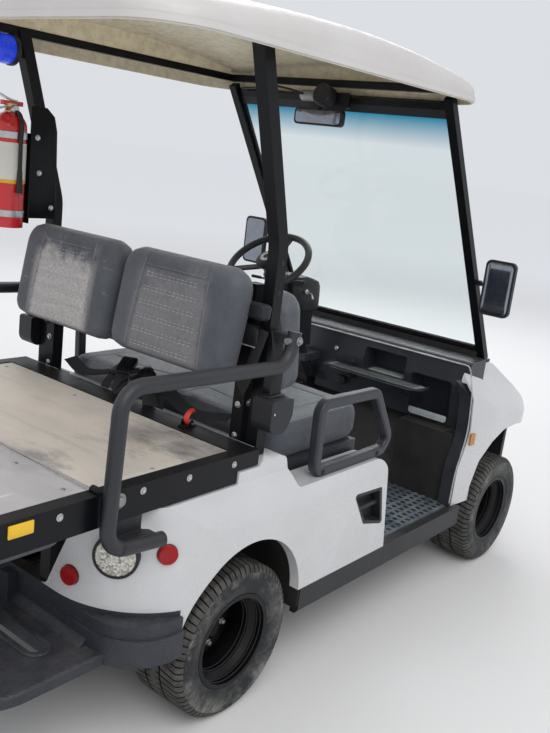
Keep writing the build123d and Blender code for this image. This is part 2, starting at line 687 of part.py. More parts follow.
def make_deck():
    low = deck_z - rail_deep
    edge = seam_x + seam_gap / 2
    frame = block(deck_front_x, front_bar_x, -deck_half, deck_half, front_bar_low, deck_z)
    for side in (1, -1):
        y0, y1 = side * (deck_half - rail_wide), side * deck_half
        frame = frame + block(edge, deck_front_x, min(y0, y1), max(y0, y1), low, deck_z)
    under = deck_z - panel_low - panel_t - seat_gap
    inner = deck_half - rail_wide
    for x in (edge, deck_front_x - 210, deck_front_x - 30):
        frame = frame + block(x, x + 30, -inner, inner, low, under)
    fixed_knuckles = ((knuckle_y[0], knuckle_y[1]), (knuckle_y[2], knuckle_y[3]))
    moving_knuckle = ((knuckle_y[1] + seat_gap, knuckle_y[2] - seat_gap),)
    pin = ((knuckle_y[0], knuckle_y[3]),)
    frame = frame - on_hinge(moving_knuckle, knuckle_r + knuckle_play, seat_gap) + on_hinge(fixed_knuckles, knuckle_r)
    parts["deck_frame"] = frame + on_hinge(pin, hinge_pin_r)
    parts["deck_panel"] = block(edge, deck_front_x - seat_gap, -inner + seat_gap, inner - seat_gap,
                                under + seat_gap, deck_z - panel_low)
    rear = -rear_reach
    start = seam_x - seam_gap / 2
    flip = block(rear, rear + rail_wide, -deck_half, deck_half, low, deck_z)
    for side in (1, -1):
        y0, y1 = side * (deck_half - rail_wide), side * deck_half
        flip = flip + block(rear, start, min(y0, y1), max(y0, y1), low, deck_z)
    for x in (start - 30, (rear + start) / 2):
        flip = flip + block(x, x + 30, -inner, inner, under - 22, under)
    flip = flip - on_hinge(fixed_knuckles, knuckle_r + knuckle_play, seat_gap) + on_hinge(moving_knuckle, knuckle_r)
    parts["flip_frame"] = flip - on_hinge(pin, hinge_pin_r + running)
    parts["flip_panel"] = block(rear + rail_wide + seat_gap, start, -inner + seat_gap, inner - seat_gap,
                                under + seat_gap, deck_z - panel_low)
    top = under - 22 - seat_gap
    pads = []
    for side in (1, -1):
        mid = side * (inner / 2)
        pad = block(rear + rail_wide + 6, start - 34, mid - inner / 2 + 6, mid + inner / 2 - 6, top - bench_t, top)
        pads.append(fillet(pad.edges(), 18))
    parts["bench_cushion"] = Compound(children=[s for pad in pads for s in pad.solids()])
    latch = side_prism(area([(-8, deck_z + seat_gap), (26, deck_z + seat_gap), (26, deck_z + 22), (12, deck_z + 46),
                             (-18, deck_z + 40), (-16, deck_z + 30), (0, deck_z + 30), (-4, deck_z + 12)]), -286, -304)
    parts["deck_latch"] = latch


def pad_back(z):
    """Where the frame meets the leaning rear face of the front backrests, at a height."""
    foot, head, thick = front_pad_x
    share = (z - front_back_z[0]) / (front_back_z[1] - front_back_z[0])
    return foot + (head - foot) * share - seat_gap


def pad_front(z):
    """Front face of the rear backrests at a height."""
    foot, head, thick = rear_pad_x
    share = (z - rear_back_z[0]) / (rear_back_z[1] - rear_back_z[0])
    return foot + (head - foot) * share + thick + seat_gap


def make_seat_frame():
    shapes = []
    for side in (1, -1):
        y = side * post_y
        shapes.append(block(post_x - post_w / 2, post_x + post_w / 2, y - post_w / 2, y + post_w / 2,
                            shelf_top_z + seat_gap, post_top))
        shapes.append(block(front_bar_x + seat_gap, post_x + 45, y - 34, y + 34, shelf_top_z + seat_gap,
                            shelf_top_z + 8))
    for x0, x1, z in ((post_x - 12, post_x + 20, 1000), (post_x + 10, pad_back(1193), 1180)):
        shapes.append(block(x0, x1, -post_y, post_y, z - 13, z + 13))
    for side in (1, -1):
        y = side * back_mid_y
        shapes.append(block(post_x + 18, pad_back(1012), y - 30, y + 30, 988, 1012))
        for z in (1012, 1192):
            shapes.append(block(pad_front(z), post_x + 12, y - 30, y + 30, z - 24, z))
    parts["seat_back_frame"] = fused(*shapes)
    struts = []
    for side in (1, -1):
        y = side * strut_y
        line = [(strut_foot[0], y, strut_foot[1]), (strut_knee[0], y, strut_knee[1]),
                (strut_head[0], y, strut_head[1] + 10)]
        struts.append(square_tube(line, strut_w, 150))
    return struts


def make_roof(struts):
    half, w = strut_y, roof_rail_w
    rails = []
    for side in (1, -1):
        rails.append(block(roof_rear_x + 60, roof_front_x - 60, side * half - w / 2, side * half + w / 2,
                           roof_rail_z, roof_rail_z + w))
    for x in (roof_rear_x + 60, roof_front_x - 60 - w):
        rails.append(block(x, x + w, -half, half, roof_rail_z, roof_rail_z + w))
    y = strut_y
    bottle_face = bottle_x + bottle_r + seat_gap
    brackets = [block(beacon_x + seat_gap, beacon_x + 32, y - 15, y + 15, beacon_z - 18, beacon_z + 18),
                block(bottle_face, bottle_face + 5, y - 38, y + 38, 1270, 1550)]
    for z0, z1 in ((1290, 1340), (1470, 1530)):
        strut_x = strut_knee[0] + min(0, (strut_head[0] - strut_knee[0]) * (z1 - strut_knee[1])
                                      / (strut_head[1] - strut_knee[1]))
        brackets.append(block(bottle_face + 3, strut_x, y - 4, y + 4, z0, z1))
    parts["canopy_frame"] = fused(*rails, *struts, *brackets)

    def crowned(inset, drop):
        """The canopy's outline in plan under a crown that is curved both ways."""
        mid_x, reach = (roof_rear_x + roof_front_x) / 2, (roof_front_x - roof_rear_x) / 2
        plan = Pos(mid_x, 0) * RectangleRounded(2 * (reach - inset), 2 * (roof_half - inset), roof_corner - inset)
        top, side = roof_top_z - drop, roof_side_z - drop
        sag = roof_top_z - roof_front_z
        along_r = (reach ** 2 + sag ** 2) / (2 * sag)
        low = roof_edge_z - 2 * sag
        across = make_face(Wire([Line((-roof_half - 5, low), (-roof_half - 5, side)),
                                 ThreePointArc((-roof_half - 5, side), (0, top), (roof_half + 5, side)),
                                 Line((roof_half + 5, side), (roof_half + 5, low)),
                                 Line((roof_half + 5, low), (-roof_half - 5, low))]))
        axis = Axis((mid_x, 0, roof_top_z - along_r), (0, 1, 0))
        turn = degrees(asin(reach / along_r)) + 1
        section = (Plane(origin=(mid_x, 0, 0), x_dir=(0, 1, 0), z_dir=(1, 0, 0)) * across).rotate(axis, -turn)
        return plan_prism(plan, roof_edge_z - inset, roof_top_z + 20) & revolve(section, axis=axis, revolution_arc=2 * turn)

    def bent(form, radius):
        rim = [e for e in form.edges() if e.bounding_box().min.Z > roof_side_z - 60]
        return fillet(rim, radius)

    outer = bent(crowned(drip_out, 0), roof_bend)
    band = plan_prism(Pos((roof_rear_x + roof_front_x) / 2, 0) * RectangleRounded(
        roof_front_x - roof_rear_x, 2 * roof_half, roof_corner), roof_edge_z, roof_edge_z + drip_h)
    roof = outer + band - bent(crowned(drip_out + roof_skin, roof_skin), roof_bend - roof_skin)
    for side in (1, -1):
        rib = block(roof_rear_x + 90, roof_front_x - 90, side * half - 10, side * half + 10,
                    roof_rail_z + w + seat_gap, roof_top_z)
        roof = roof + (rib & outer)
    parts["roof_canopy"] = roof


def make_windshield():
    shapes = []
    for side in (1, -1):
        y = side * screen_y
        shapes.append(bar((screen_foot[0], y, screen_foot[1]), (screen_head[0], y, roof_rail_z - 10), screen_w, 28))
        shapes.append(block(screen_foot[0] - 34, screen_foot[0] + 30, y - 18, y + 18, cowl_top_z + seat_gap,
                            cowl_top_z + 12))

    def on_screen(share, off=0.0):
        (x0, z0), (x1, z1) = screen_foot, screen_head
        span = hypot(x1 - x0, z1 - z0)
        nx, nz = (z1 - z0) / span, -(x1 - x0) / span
        return (x0 + (x1 - x0) * share + nx * off, z0 + (z1 - z0) * share + nz * off)

    low, high = on_screen(0.03), on_screen(0.955)
    for x, z in (low, high):
        direction = (screen_head[0] - screen_foot[0], 0, screen_head[1] - screen_foot[1])
        shapes.append(bar((x, -screen_y, z), (x, screen_y, z), 24, 18, up=direction))
    parts["windshield_frame"] = fused(*shapes)
    a, b = on_screen(0.045), on_screen(0.94)
    parts["windshield_glass"] = bar((a[0], 0, a[1]), (b[0], 0, b[1]), 2 * (screen_y - screen_w / 2 - seat_gap),
                                    glass_t)


def cowl_side(inset):
    i = inset
    return rounded([
        (cowl_rear_x - 1, sill_z - 80, 0), (cowl_rear_x - 1, cowl_top_z - i, 40), (screen_foot[0] + 40, cowl_top_z - i, 160),
        (nose_x - 110 - i, 716 - i, 170 - i), (nose_x - i, 560, 110 - i), (nose_x - 8 - i, sill_z - 80, 0)])


def cowl_plan(inset):
    """Plan outline: sides that widen over the wheels and a rounded nose."""
    h, i = body_half - inset, inset
    half = [(cowl_rear_x - 2, h - cowl_in, 0), (cowl_rear_x + 230, h, 300), (nose_x - 55 - i, h, 200 - i),
            (nose_x - i, nose_flat, 140 - i)]
    return rounded([*half, *[(x, -y, r) for x, y, r in reversed(half)]])


def cowl_section(inset):
    """Section across: fenders that bend in to the raised middle."""
    h, i, high = body_half - inset, inset, 1150
    half = [(h, 60, 0), (h, fender_z - i, 90 - i), (cowl_half - i, fender_z + 119 - i / 2, 40 + i), (cowl_half - i, high, 0)]
    return rounded([*half, *[(-y, z, r) for y, z, r in reversed(half)]])


def cowl_form(inset):
    run = nose_x - cowl_rear_x + 60
    slope = Vector(1, 0, -fender_drop).normalized()
    plane = Plane(origin=(cowl_rear_x - 3, 0, 0), x_dir=(0, 1, 0), z_dir=(1, 0, 0))
    sheared = extrude(plane * cowl_section(inset), amount=run / slope.X, dir=slope)
    return side_prism(cowl_side(inset), 700, -700) & plan_prism(cowl_plan(inset), sill_z - 80, 1000) & sheared


def cheek_outline(ahead, back=None):
    """Side outline between the trim's rear edge moved ahead and the same edge, or a line at back."""
    edge = [(x + ahead, z, r) for x, z, r in cheek_rear]
    if back is None:
        return rounded([*cheek_rear, *reversed(edge)])
    return rounded([(back, cheek_rear[0][1], 0), *edge, (back, cheek_rear[-1][1], 0)])


def make_cowl():
    shell = cowl_form(0) - cowl_form(skin)
    shell = shell - block(cowl_rear_x - 10, nose_x + 10, -700, 700, 0, sill_z + seat_gap)
    lip = rounded([(1378, 200, 0), (1384, 380, 0), (1420, 480, 60), (1500, 552, 60), (1600, 588, 90), (1720, 592, 60),
                   (nose_x + 30, 560, 0), (nose_x + 30, 200, 0)])
    behind = cheek_outline(cheek_wrap + seat_gap, cowl_rear_x - 90)
    high = block(cowl_rear_x - 90, cheek_rear[0][0] + cheek_wrap + seat_gap, -700, 700, cheek_rear[0][1] - 1, 1000)
    for side in (1, -1):
        y0, y1 = side * screen_y, side * 700
        shell = shell - side_prism(lip, max(y0, y1), min(y0, y1))
        y0 = side * (dash_half - 7)
        shell = shell - side_prism(behind, max(y0, y1), min(y0, y1))
    shell = shell - high - block(cowl_rear_x - 10, cowl_rear_x + 2 + skin, -dash_half - 4, dash_half + 4, 0, 1000)
    shell = shell - block(cowl_rear_x - 10, cowl_open_x, -dash_half - 4, dash_half + 4, 590, 1000)
    for side in (1, -1):
        shell = shell - cross_lamp(side, nose_x - 120, nose_x + 60, play)
    parts["front_cowl"] = shell
    heads = both(cross_lamp(1, well_front_x + 6, nose_x + 40, 0) & cowl_form(-2))
    parts["clear_lamps"] = Compound(children=[*parts["clear_lamps"].solids(), *heads.solids()])
    bumper = block(nose_x + 2, nose_x + 30, -430, 430, 330, 440)
    bumper = fillet(bumper.edges().filter_by(Axis.Z), 13)
    for side in (1, -1):
        bumper = bumper + block(chassis_front_x + seat_gap, nose_x + 4, side * rail_y - 15, side * rail_y + 15, 250, 290)
        bumper = bumper + block(nose_x + 2, nose_x + 24, side * rail_y - 15, side * rail_y + 15, 250, 340)
    parts["front_bumper"] = bumper


def cross_lamp(side, x0, x1, grow):
    return rod((x0, side * head_y, head_z), (x1, side * head_y, head_z), head_r + grow)


def make_dash():
    front = cowl_open_x - seat_gap
    face = [(dash_x, dash_low, 0), (dash_x - 20, 780, 60), (dash_x, dash_top, 26)]
    dash = side_prism(rounded([*face, (front, dash_top, 0), (front, dash_low, 0)]), dash_half, -dash_half)
    for y0, y1, z0, z1, depth in dash_pockets:
        pocket = block(dash_x - 60, dash_x + depth, y0, y1, z0, z1)
        dash = dash - fillet(pocket.edges().filter_by(Axis.X), pocket_round)
    y0, y1, z0, z1, depth = dash_pockets[0]
    dash = dash + block(dash_x - 2, dash_x + 6, y0 - 1, y1 + 1, z0 - 1, z0 + pocket_lip)
    room = Pos(0, 0, -cheek_drop) * front_prism(cowl_section(skin + seat_gap), cheek_rear[0][0] - 1, dash_x + 60)
    for side in (1, -1):
        inner, edge = side * (dash_half - 1), side * cheek_half
        cheek = side_prism(cheek_outline(cheek_depth), max(inner, edge), min(inner, edge))
        inner, edge = side * (cheek_half - 1), side * (cheek_half + 5)
        cheek = cheek + side_prism(cheek_outline(cheek_wrap), max(inner, edge), min(inner, edge))
        dash = dash + (cheek & room)
    bracket_x, _, bracket_z = column_point(column_grip)
    dash = dash + block(bracket_x - 40, dash_x, wheel_centre[1] - 42, wheel_centre[1] + 42, bracket_z - 16,
                        bracket_z + 16)
    dash = dash - rod(column_point(150), column_point(shaft_len + 60), case_r + seat_gap)
    parts["dashboard"] = dash


def make_liners():
    x0, x1 = firewall_x + seat_gap, well_front_x
    outer, top = body_half - 122, toe_z
    box = block(x0, x1, well_y - 5, outer, rail_z + 10, top) - block(x0 + 5, x1 - 5, well_y, outer + 10, 0, top - 6)
    rear = arch_cutter(liner_r, 352, body_half, sill_z - 60) - arch_cutter(arch_r + 8, 340, body_half + 1, 0)
    rear = rear & rear_form(skin + seat_gap, 200)
    shells = [box, rear]
    parts["wheel_liners"] = Compound(children=[s for shell in shells for copy in mirrored(shell)
                                               for s in copy.solids()])


def make_front_seats():
    x0, x1 = kick_x + 10, side_front_x - 76
    base = block(x0, x1, -cushion_y, cushion_y, floor_z + seat_gap, cushion_z[0] - seat_gap)
    base = base - block(x0 + skin, x1 - skin, -cushion_y + skin, cushion_y - skin, floor_z - 1,
                        cushion_z[0] - seat_gap - skin)
    parts["seat_base"] = base
    parts["battery_pack"] = block(x0 + 70, x1 - 20, -380, 380, floor_z + seat_gap, floor_z + 280)
    cushion = block(cushion_x[0], cushion_x[1], -cushion_y, cushion_y, cushion_z[0], cushion_z[1])
    parts["front_cushion"] = fillet(cushion.edges(), 24)

    def pad(bottom, top, thick, z0, z1, mid_y, wide):
        face = area([(bottom, z0), (bottom + thick, z0), (top + thick, z1), (top, z1)], 26)
        solid = side_prism(face, mid_y + wide / 2, mid_y - wide / 2)
        return both(solid)

    parts["front_backrests"] = pad(*front_pad_x, *front_back_z, front_back_mid_y, front_back_w)
    parts["rear_backrests"] = pad(*rear_pad_x, *rear_back_z, back_mid_y, back_w)


def make_restraints():
    y = body_half - 36
    low = side_top_z + seat_gap
    outer = area([(276, low), (266, 908), (588, 902), (712, 716), (664, low)], 50)
    inner = area([(308, low + 32), (300, 874), (570, 868), (674, 716), (652, low + 32)], 16)
    loop = side_prism(outer - inner, y + 17, y - 17)
    parts["hip_restraints"] = both(fillet(loop.edges().filter_by(Plane.XZ), 9))


def make_grab_rails():
    y = deck_half + 31
    r = 19.0
    points = [(92, y, 1128), (78, y, 1034), (-498, y, 1052), (-512, y, 668), (-340, y, 652)]
    path = FilletPolyline(*points, radius=60)
    rail = sweep(Plane(origin=path @ 0, z_dir=path % 0) * Circle(r), path=path)
    inner = strut_y + strut_w / 2 + seat_gap
    rail = rail + block(78, 104, inner, y, 1092, 1118)
    rail = rail + block(-475, -372, deck_half - 24, y - 8, 666, 674)
    rail = rail + block(-475, -372, deck_half - 14, deck_half - 8, 672, deck_z - rail_deep - seat_gap)
    parts["grab_rails"] = both(rail)


def make_mirrors():
    side_mirror = block(1262, 1288, 537, 655, 1094, 1300)
    side_mirror = fillet(side_mirror.edges().filter_by(Axis.X), 22)
    side_mirror = fillet(side_mirror.edges().group_by(Axis.X)[-1], 11)
    (x0, z0), (x1, z1) = screen_foot, screen_head
    share = (1200 - z0) / (z1 - z0)
    post = x0 + (x1 - x0) * share
    foot = screen_y + screen_w / 2 + seat_gap
    arm = block(post - 10, post + 10, foot, foot + 14, 1190, 1210)
    arm = arm + bar((post, foot + 8, 1200), (1284, 545, 1200), 14, 14, up=(0, 0, 1))
    inside = block(884, 906, -66, 150, 1700, 1760)
    inside = fillet(inside.edges().filter_by(Axis.X), 16)
    stem = bar((882, 40, 1755), (882, 40, roof_rail_z - seat_gap), 14, 14)
    mirrors = [*both(side_mirror + arm).solids(), *(inside + stem).solids()]
    parts["mirrors"] = Compound(children=mirrors)


def make_fittings():
    box = side_prism(rounded([(30, 842, 34), (100, 842, 40), (124, 890, 26), (124, 938, 10), (30, 942, 10)]),
                     body_half - 17, strut_y + strut_w / 2 + seat_gap)
    parts["belt_housings"] = both(box)
    y = strut_y
    x, z = beacon_x, beacon_z
    parts["beacon"] = rod((x - 16, y, z), (x - 62, y, z), 42) + rod((x, y, z), (x - 16, y, z), 30)
    x = bottle_x
    bottle = rod((x, y, 1256), (x, y, 1560), bottle_r)
    bottle = bottle + Pos(x, y, 1560) * Sphere(bottle_r) + rod((x, y, 1600), (x, y, 1640), 17)
    bottle = bottle + block(-130, -60, y - 9, y + 9, 1628, 1642)
    parts["extinguisher"] = bottle
    marker = block(1316, 1346, body_half - 60, body_half + 30, 566, 612)
    parts["marker_lamps"] = both(marker & (plan_prism(cowl_plan(-8), 500, 700) - plan_prism(cowl_plan(-seat_gap), 400, 800)))
    pedal = []
    for py in (110, 205):
        leg_low = floor_z + (1306 - firewall_x + floor_t) * (toe_z + 2 - floor_z) / (toe_x - firewall_x + floor_t)
        pedal.append(block(1296, 1308, py - 34, py + 34, 400, 480)
                     + block(1296, 1306, py - 9, py + 9, leg_low + seat_gap, 410))
    parts["pedals"] = Compound(children=[s for p in pedal for s in p.solids()])


make_wheels()
make_chassis()
make_front_axle(make_rear_axle())
make_steering()
make_column()
make_floor()
make_rear_body()
make_bumper()
make_deck()
make_roof(make_seat_frame())
make_windshield()
make_cowl()
make_dash()
make_liners()
make_front_seats()
make_restraints()
make_grab_rails()
make_mirrors()
make_fittings()

os.makedirs("parts", exist_ok=True)
for name, shape in parts.items():
    export_step(tidy(shape), "parts/" + name + ".step")
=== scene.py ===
"""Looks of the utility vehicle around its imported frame: materials, tyres, upholstery, trim, stage.

Shapes are in millimetres and become metres in Shape.make; materials, camera and stage are in metres.
+X is forward, +Y is left, +Z is up. Places are written from the rear axle, as at(x, y, z).
"""
from math import copysign, cos, exp, hypot, pi, radians, sin, sqrt

import bmesh
import bpy
from mathutils import Matrix, Vector, noise
from mathutils.bvhtree import BVHTree


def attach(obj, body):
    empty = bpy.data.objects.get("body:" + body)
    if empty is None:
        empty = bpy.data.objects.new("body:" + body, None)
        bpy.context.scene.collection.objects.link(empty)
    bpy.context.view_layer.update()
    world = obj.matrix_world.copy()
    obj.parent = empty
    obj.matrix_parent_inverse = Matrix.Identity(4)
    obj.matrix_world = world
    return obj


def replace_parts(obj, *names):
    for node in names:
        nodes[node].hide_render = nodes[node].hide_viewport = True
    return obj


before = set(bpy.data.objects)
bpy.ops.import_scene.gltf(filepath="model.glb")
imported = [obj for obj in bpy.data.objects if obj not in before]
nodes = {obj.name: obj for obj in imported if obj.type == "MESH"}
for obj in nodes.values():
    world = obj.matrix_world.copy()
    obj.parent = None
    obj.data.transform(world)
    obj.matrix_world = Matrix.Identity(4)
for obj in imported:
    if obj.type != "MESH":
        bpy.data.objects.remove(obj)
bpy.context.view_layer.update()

MM = 0.001
AHEAD, BACK, LEFT, RIGHT, UP = (1, 0, 0), (-1, 0, 0), (0, 1, 0), (0, -1, 0), (0, 0, 1)

# Driving places, from the rear axle
AXLE_X = -507.5
WHEELBASE = 1600
BODY_HALF = 592
DECK_Z = 796
DECK_HALF = 541
SEAM_X = -507
STRUT_Y = 487
CORNER = (-142, 302, 290)      # rear corner's centre from the axle, |y|, and its radius
TYRE_R = 229.5
WHEELS = {  # x from the axle, |y| of the wheel's middle
    "rear": (0, 472),
    "front": (WHEELBASE, 503),
}
SIDES = {"left": 1, "right": -1}
BOTH = (1, -1)
CANOPY_MID = AXLE_X + 240
HEAD_LAMP = (385, 560, 64.5)    # |y| and height of its middle, radius of its ring


def at(x, y, z):
    """A place written from the rear axle, in the shared frame."""
    return Vector((x + AXLE_X, y, z))


# Camera, from the photograph's perspective
CAMERA_AT = at(-1684, -1896, 1575) * MM
CAMERA_YAW = radians(37.8)
CAMERA_PITCH = radians(13.9)
CAMERA_ROLL = radians(-7.0)
FOCAL_PX = 846.0
PHOTO_TALL_PX = 733.0
SENSOR = 36.0


def make_camera():
    data = bpy.data.cameras.new("camera")
    data.sensor_width = SENSOR
    data.lens = FOCAL_PX * SENSOR / PHOTO_TALL_PX
    data.clip_start = 0.05
    data.clip_end = 200
    camera = bpy.data.objects.new("camera", data)
    bpy.context.scene.collection.objects.link(camera)
    ahead = Vector((cos(CAMERA_YAW) * cos(CAMERA_PITCH), sin(CAMERA_YAW) * cos(CAMERA_PITCH),
        -sin(CAMERA_PITCH)))
    right = Vector((sin(CAMERA_YAW), -cos(CAMERA_YAW), 0))
    down = ahead.cross(right)
    rolled_right = right * cos(CAMERA_ROLL) + down * sin(CAMERA_ROLL)
    rolled_down = down * cos(CAMERA_ROLL) - right * sin(CAMERA_ROLL)
    turn = Matrix((rolled_right, -rolled_down, -ahead)).transposed()
    camera.matrix_world = Matrix.Translation(CAMERA_AT) @ turn.to_4x4()
    bpy.context.scene.camera = camera


# Materials
DUST = (0.36, 0.32, 0.28)
PAINTS = {}


class Graph:
    """A short way to write a material's nodes; the material is listed in PAINTS."""

    def __init__(self, name):
        self.material = PAINTS[name] = bpy.data.materials.new(name)
        self.material.use_nodes = True
        self.tree = self.material.node_tree
        self.tree.nodes.clear()
        out = self.tree.nodes.new("ShaderNodeOutputMaterial")
        self.shader = self.tree.nodes.new("ShaderNodeBsdfPrincipled")
        self.tree.links.new(self.shader.outputs[0], out.inputs[0])
        self.coords = self.tree.nodes.new("ShaderNodeTexCoord").outputs["Object"]
        self.axes = None

    def node(self, kind, sockets=None, **settings):
        made = self.tree.nodes.new(kind)
        for key, value in settings.items():
            setattr(made, key, value)
        for key, value in (sockets or {}).items():
            self.feed(made.inputs[key], value)
        return made

    def feed(self, socket, value):
        if isinstance(value, bpy.types.NodeSocket):
            self.tree.links.new(value, socket)
        elif isinstance(value, (tuple, list)) and len(value) == 3 and socket.type == "RGBA":
            socket.default_value = (*value, 1)
        else:
            socket.default_value = value

    def set(self, **sockets):
        for key, value in sockets.items():
            self.feed(self.shader.inputs[key.replace("_", " ")], value)

    def noise(self, scale, detail=4, rough=0.6, stretch=(1, 1, 1)):
        place = self.node("ShaderNodeMapping", {"Vector": self.coords, "Scale": stretch}).outputs[0]
        return self.node("ShaderNodeTexNoise", {"Vector": place, "Scale": scale, "Detail": detail,
            "Roughness": rough}).outputs["Fac"]

    def ramp(self, value, low, high, low_to=0.0, high_to=1.0):
        return self.node("ShaderNodeMapRange", {"Value": value, "From Min": low, "From Max": high,
            "To Min": low_to, "To Max": high_to}).outputs[0]

    def mix(self, share, a, b):
        made = self.node("ShaderNodeMix", data_type="RGBA")
        self.feed(made.inputs[0], share)
        self.feed(made.inputs[6], a)
        self.feed(made.inputs[7], b)
        return made.outputs[2]

    def math(self, how, a, b=0.0):
        made = self.node("ShaderNodeMath", operation=how)
        self.feed(made.inputs[0], a)
        self.feed(made.inputs[1], b)
        return made.outputs[0]

    def times(self, value, *others):
        for other in others:
            value = self.math("MULTIPLY", value, other)
        return value

    def spots(self, grain, *limits):
        return self.ramp(self.noise(*grain), *limits)

    def place(self, axis):
        """The surface's place along an axis, 0 to 2, in the shared frame."""
        if self.axes is None:
            self.axes = self.node("ShaderNodeSeparateXYZ", {"Vector": self.coords})
        return self.axes.outputs[axis]

    def facing(self, axis, low=0.3, high=0.95, low_to=0.0, high_to=1.0):
        """How far the surface faces along an axis; low above high turns it round."""
        normal = self.node("ShaderNodeNewGeometry").outputs["Normal"]
        return self.ramp(self.node("ShaderNodeSeparateXYZ", {"Vector": normal}).outputs[axis], low, high,
            low_to, high_to)

    def bump(self, height, depth):
        self.set(Normal=self.node("ShaderNodeBump", {"Height": height, "Distance": depth,
            "Strength": 1.0}).outputs[0])


def coated(name, color, worn, rough, grain, dust=0.0, patch=3.0, metal=0.0, coat=0.0, scratch=0.0, gloss=0.5):
    """Paint or moulded plastic: two tones in soft patches, fine scratches, grain, dust on what faces up."""
    g = Graph(name)
    patches = g.spots((patch, 6, 0.7), 0.38, 0.68)
    tone = g.mix(patches, color, worn)
    if scratch:
        lines = g.spots((35, 3, 0.55, (1, 14, 14)), 0.66, 0.72, 0, scratch)
        tone = g.mix(lines, tone, tuple(min(1, c * 3 + 0.05) for c in worn))
    if dust:
        lies = g.times(g.facing(2), g.spots((9, 8, 0.75), 0.35, 0.7, dust * 0.3, dust))
        tone = g.mix(lies, tone, DUST)
    g.set(Base_Color=tone, Metallic=metal, Roughness=g.ramp(patches, 0, 1, *rough), Specular_IOR_Level=gloss)
    if coat:
        g.set(Coat_Weight=coat, Coat_Roughness=0.08)
    scale, depth = grain
    g.bump(g.noise(scale, 2, 0.5), depth)


def body_white():
    """White gel coat: a cool tint, a soft orange-peel, road film low down and near the wheels."""
    g = Graph("white")
    tone = g.mix(g.spots((2.2, 5, 0.6), 0.35, 0.7), (0.6, 0.604, 0.616), (0.53, 0.536, 0.55))
    low = g.ramp(g.place(2), 0.75, 0.32, 0, 0.75)
    film = g.times(low, g.spots((6, 8, 0.75), 0.42, 0.75))
    tone = g.mix(film, tone, (0.54, 0.51, 0.48))
    specks = g.spots((85, 2, 0.5), 0.7, 0.76, 0, 0.5)
    tone = g.mix(g.times(specks, low), tone, (0.38, 0.33, 0.28))
    g.set(Base_Color=tone, Roughness=g.ramp(film, 0, 1, 0.24, 0.6), Coat_Weight=0.35, Coat_Roughness=0.12)
    g.bump(g.noise(120, 2), 0.00012)


def canopy_cream():
    """Moulded canopy: pale warm top, mottled and stained underside."""
    g = Graph("canopy")
    top = g.mix(g.spots((1.6, 6, 0.65), 0.35, 0.7), (0.6, 0.585, 0.575), (0.53, 0.51, 0.495))
    dots = g.spots((34, 5, 0.7), 0.42, 0.66)
    under = g.mix(dots, (0.88, 0.79, 0.58), (0.7, 0.61, 0.44))
    streaks = g.spots((7, 7, 0.75, (0.35, 1, 1)), 0.5, 0.72, 0, 0.6)
    under = g.mix(streaks, under, (0.46, 0.39, 0.29))
    inward = [g.times(g.facing(axis, -1, 1, -1, 1), g.math("SUBTRACT", g.place(axis), middle))
        for axis, middle in ((0, CANOPY_MID * MM), (1, 0.0))]
    inner = g.math("MAXIMUM", *(g.ramp(lean, -0.02, -0.1) for lean in inward))
    tone = g.mix(g.math("MAXIMUM", inner, g.facing(2, -0.02, -0.25)), top, under)
    g.set(Base_Color=tone, Roughness=g.ramp(dots, 0, 1, 0.38, 0.6))
    g.bump(g.noise(150, 3), 0.0004)


def vinyl():
    """Grey upholstery: leather grain, dusty bloom in the sewn panels, most of all on the left, and a painted
    bluish sky sheen on what faces up.
    """
    g = Graph("vinyl")
    bloom = g.spots((6, 8, 0.74), 0.38, 0.72)
    tone = g.mix(bloom, (0.052, 0.06, 0.077), (0.098, 0.106, 0.128))
    behind = g.facing(0, -0.5, -0.9)
    left = g.ramp(g.place(1), 0.0, 0.08)
    inside = g.ramp(g.math("ABSOLUTE", g.math("SUBTRACT", g.math("ABSOLUTE", g.place(1)), 0.238)), 0.16, 0.12)
    edge = g.math("ADD", g.place(2), g.spots((11, 6, 0.7), 0.3, 0.7, -0.055, 0.055))
    low = g.ramp(edge, 1.245, 1.18)
    dusty = g.times(behind, inside, low)
    amount = g.math("ADD", g.times(left, 0.66), 0.26)
    fine = g.spots((150, 4, 0.7), 0.3, 0.65, 0.45, 1)
    dusty = g.times(dusty, amount, fine)
    tone = g.mix(dusty, tone, (0.62, 0.585, 0.575))
    # Pale marks on the faces of the left pads that face back.
    pale_marks = g.spots((16, 5, 0.7, (1, 1, 4)), 0.61, 0.67, 0, 0.55)
    tone = g.mix(g.times(pale_marks, g.times(left, behind)), tone, (0.5, 0.48, 0.46))
    # Painted sky sheen: what faces up is mixed towards a lighter bluish grey.
    tone = g.mix(g.times(g.facing(2, 0.2, 0.95), 0.4), tone, (0.2, 0.215, 0.235))
    g.set(Base_Color=tone, Roughness=g.spots((60, 3), 0.3, 0.7, 0.4, 0.6), Sheen_Weight=0.12)
    cells = g.node("ShaderNodeTexVoronoi", {"Vector": g.coords, "Scale": 420.0}, feature="DISTANCE_TO_EDGE")
    g.bump(g.ramp(cells.outputs["Distance"], 0.0, 0.12), 0.0004)


def glass_sheet():
    """Windshield: clear, with a blue shade along its top."""
    g = Graph("screen_glass")
    band = g.ramp(g.place(2), 1.66, 1.76)
    tone = g.mix(band, (0.92, 0.98, 0.97), (0.03, 0.3, 0.47))
    g.set(Base_Color=tone, Roughness=0.02, IOR=1.2, Transmission_Weight=1.0)


def lens(name, color, rough=0.12, ribs=260.0, glow=None, coat=0.6, gloss=0.5):
    g = Graph(name)
    wave = g.node("ShaderNodeTexWave", {"Vector": g.coords, "Scale": ribs}, bands_direction="Z")
    tone = g.mix(g.ramp(wave.outputs["Fac"], 0, 1), color, tuple(c * 0.6 for c in color))
    g.set(Base_Color=tone, Roughness=rough, Coat_Weight=coat, Specular_IOR_Level=gloss)
    if glow:
        g.set(Emission_Color=(*glow[0], 1), Emission_Strength=glow[1])
    g.bump(wave.outputs["Fac"], 0.0006)


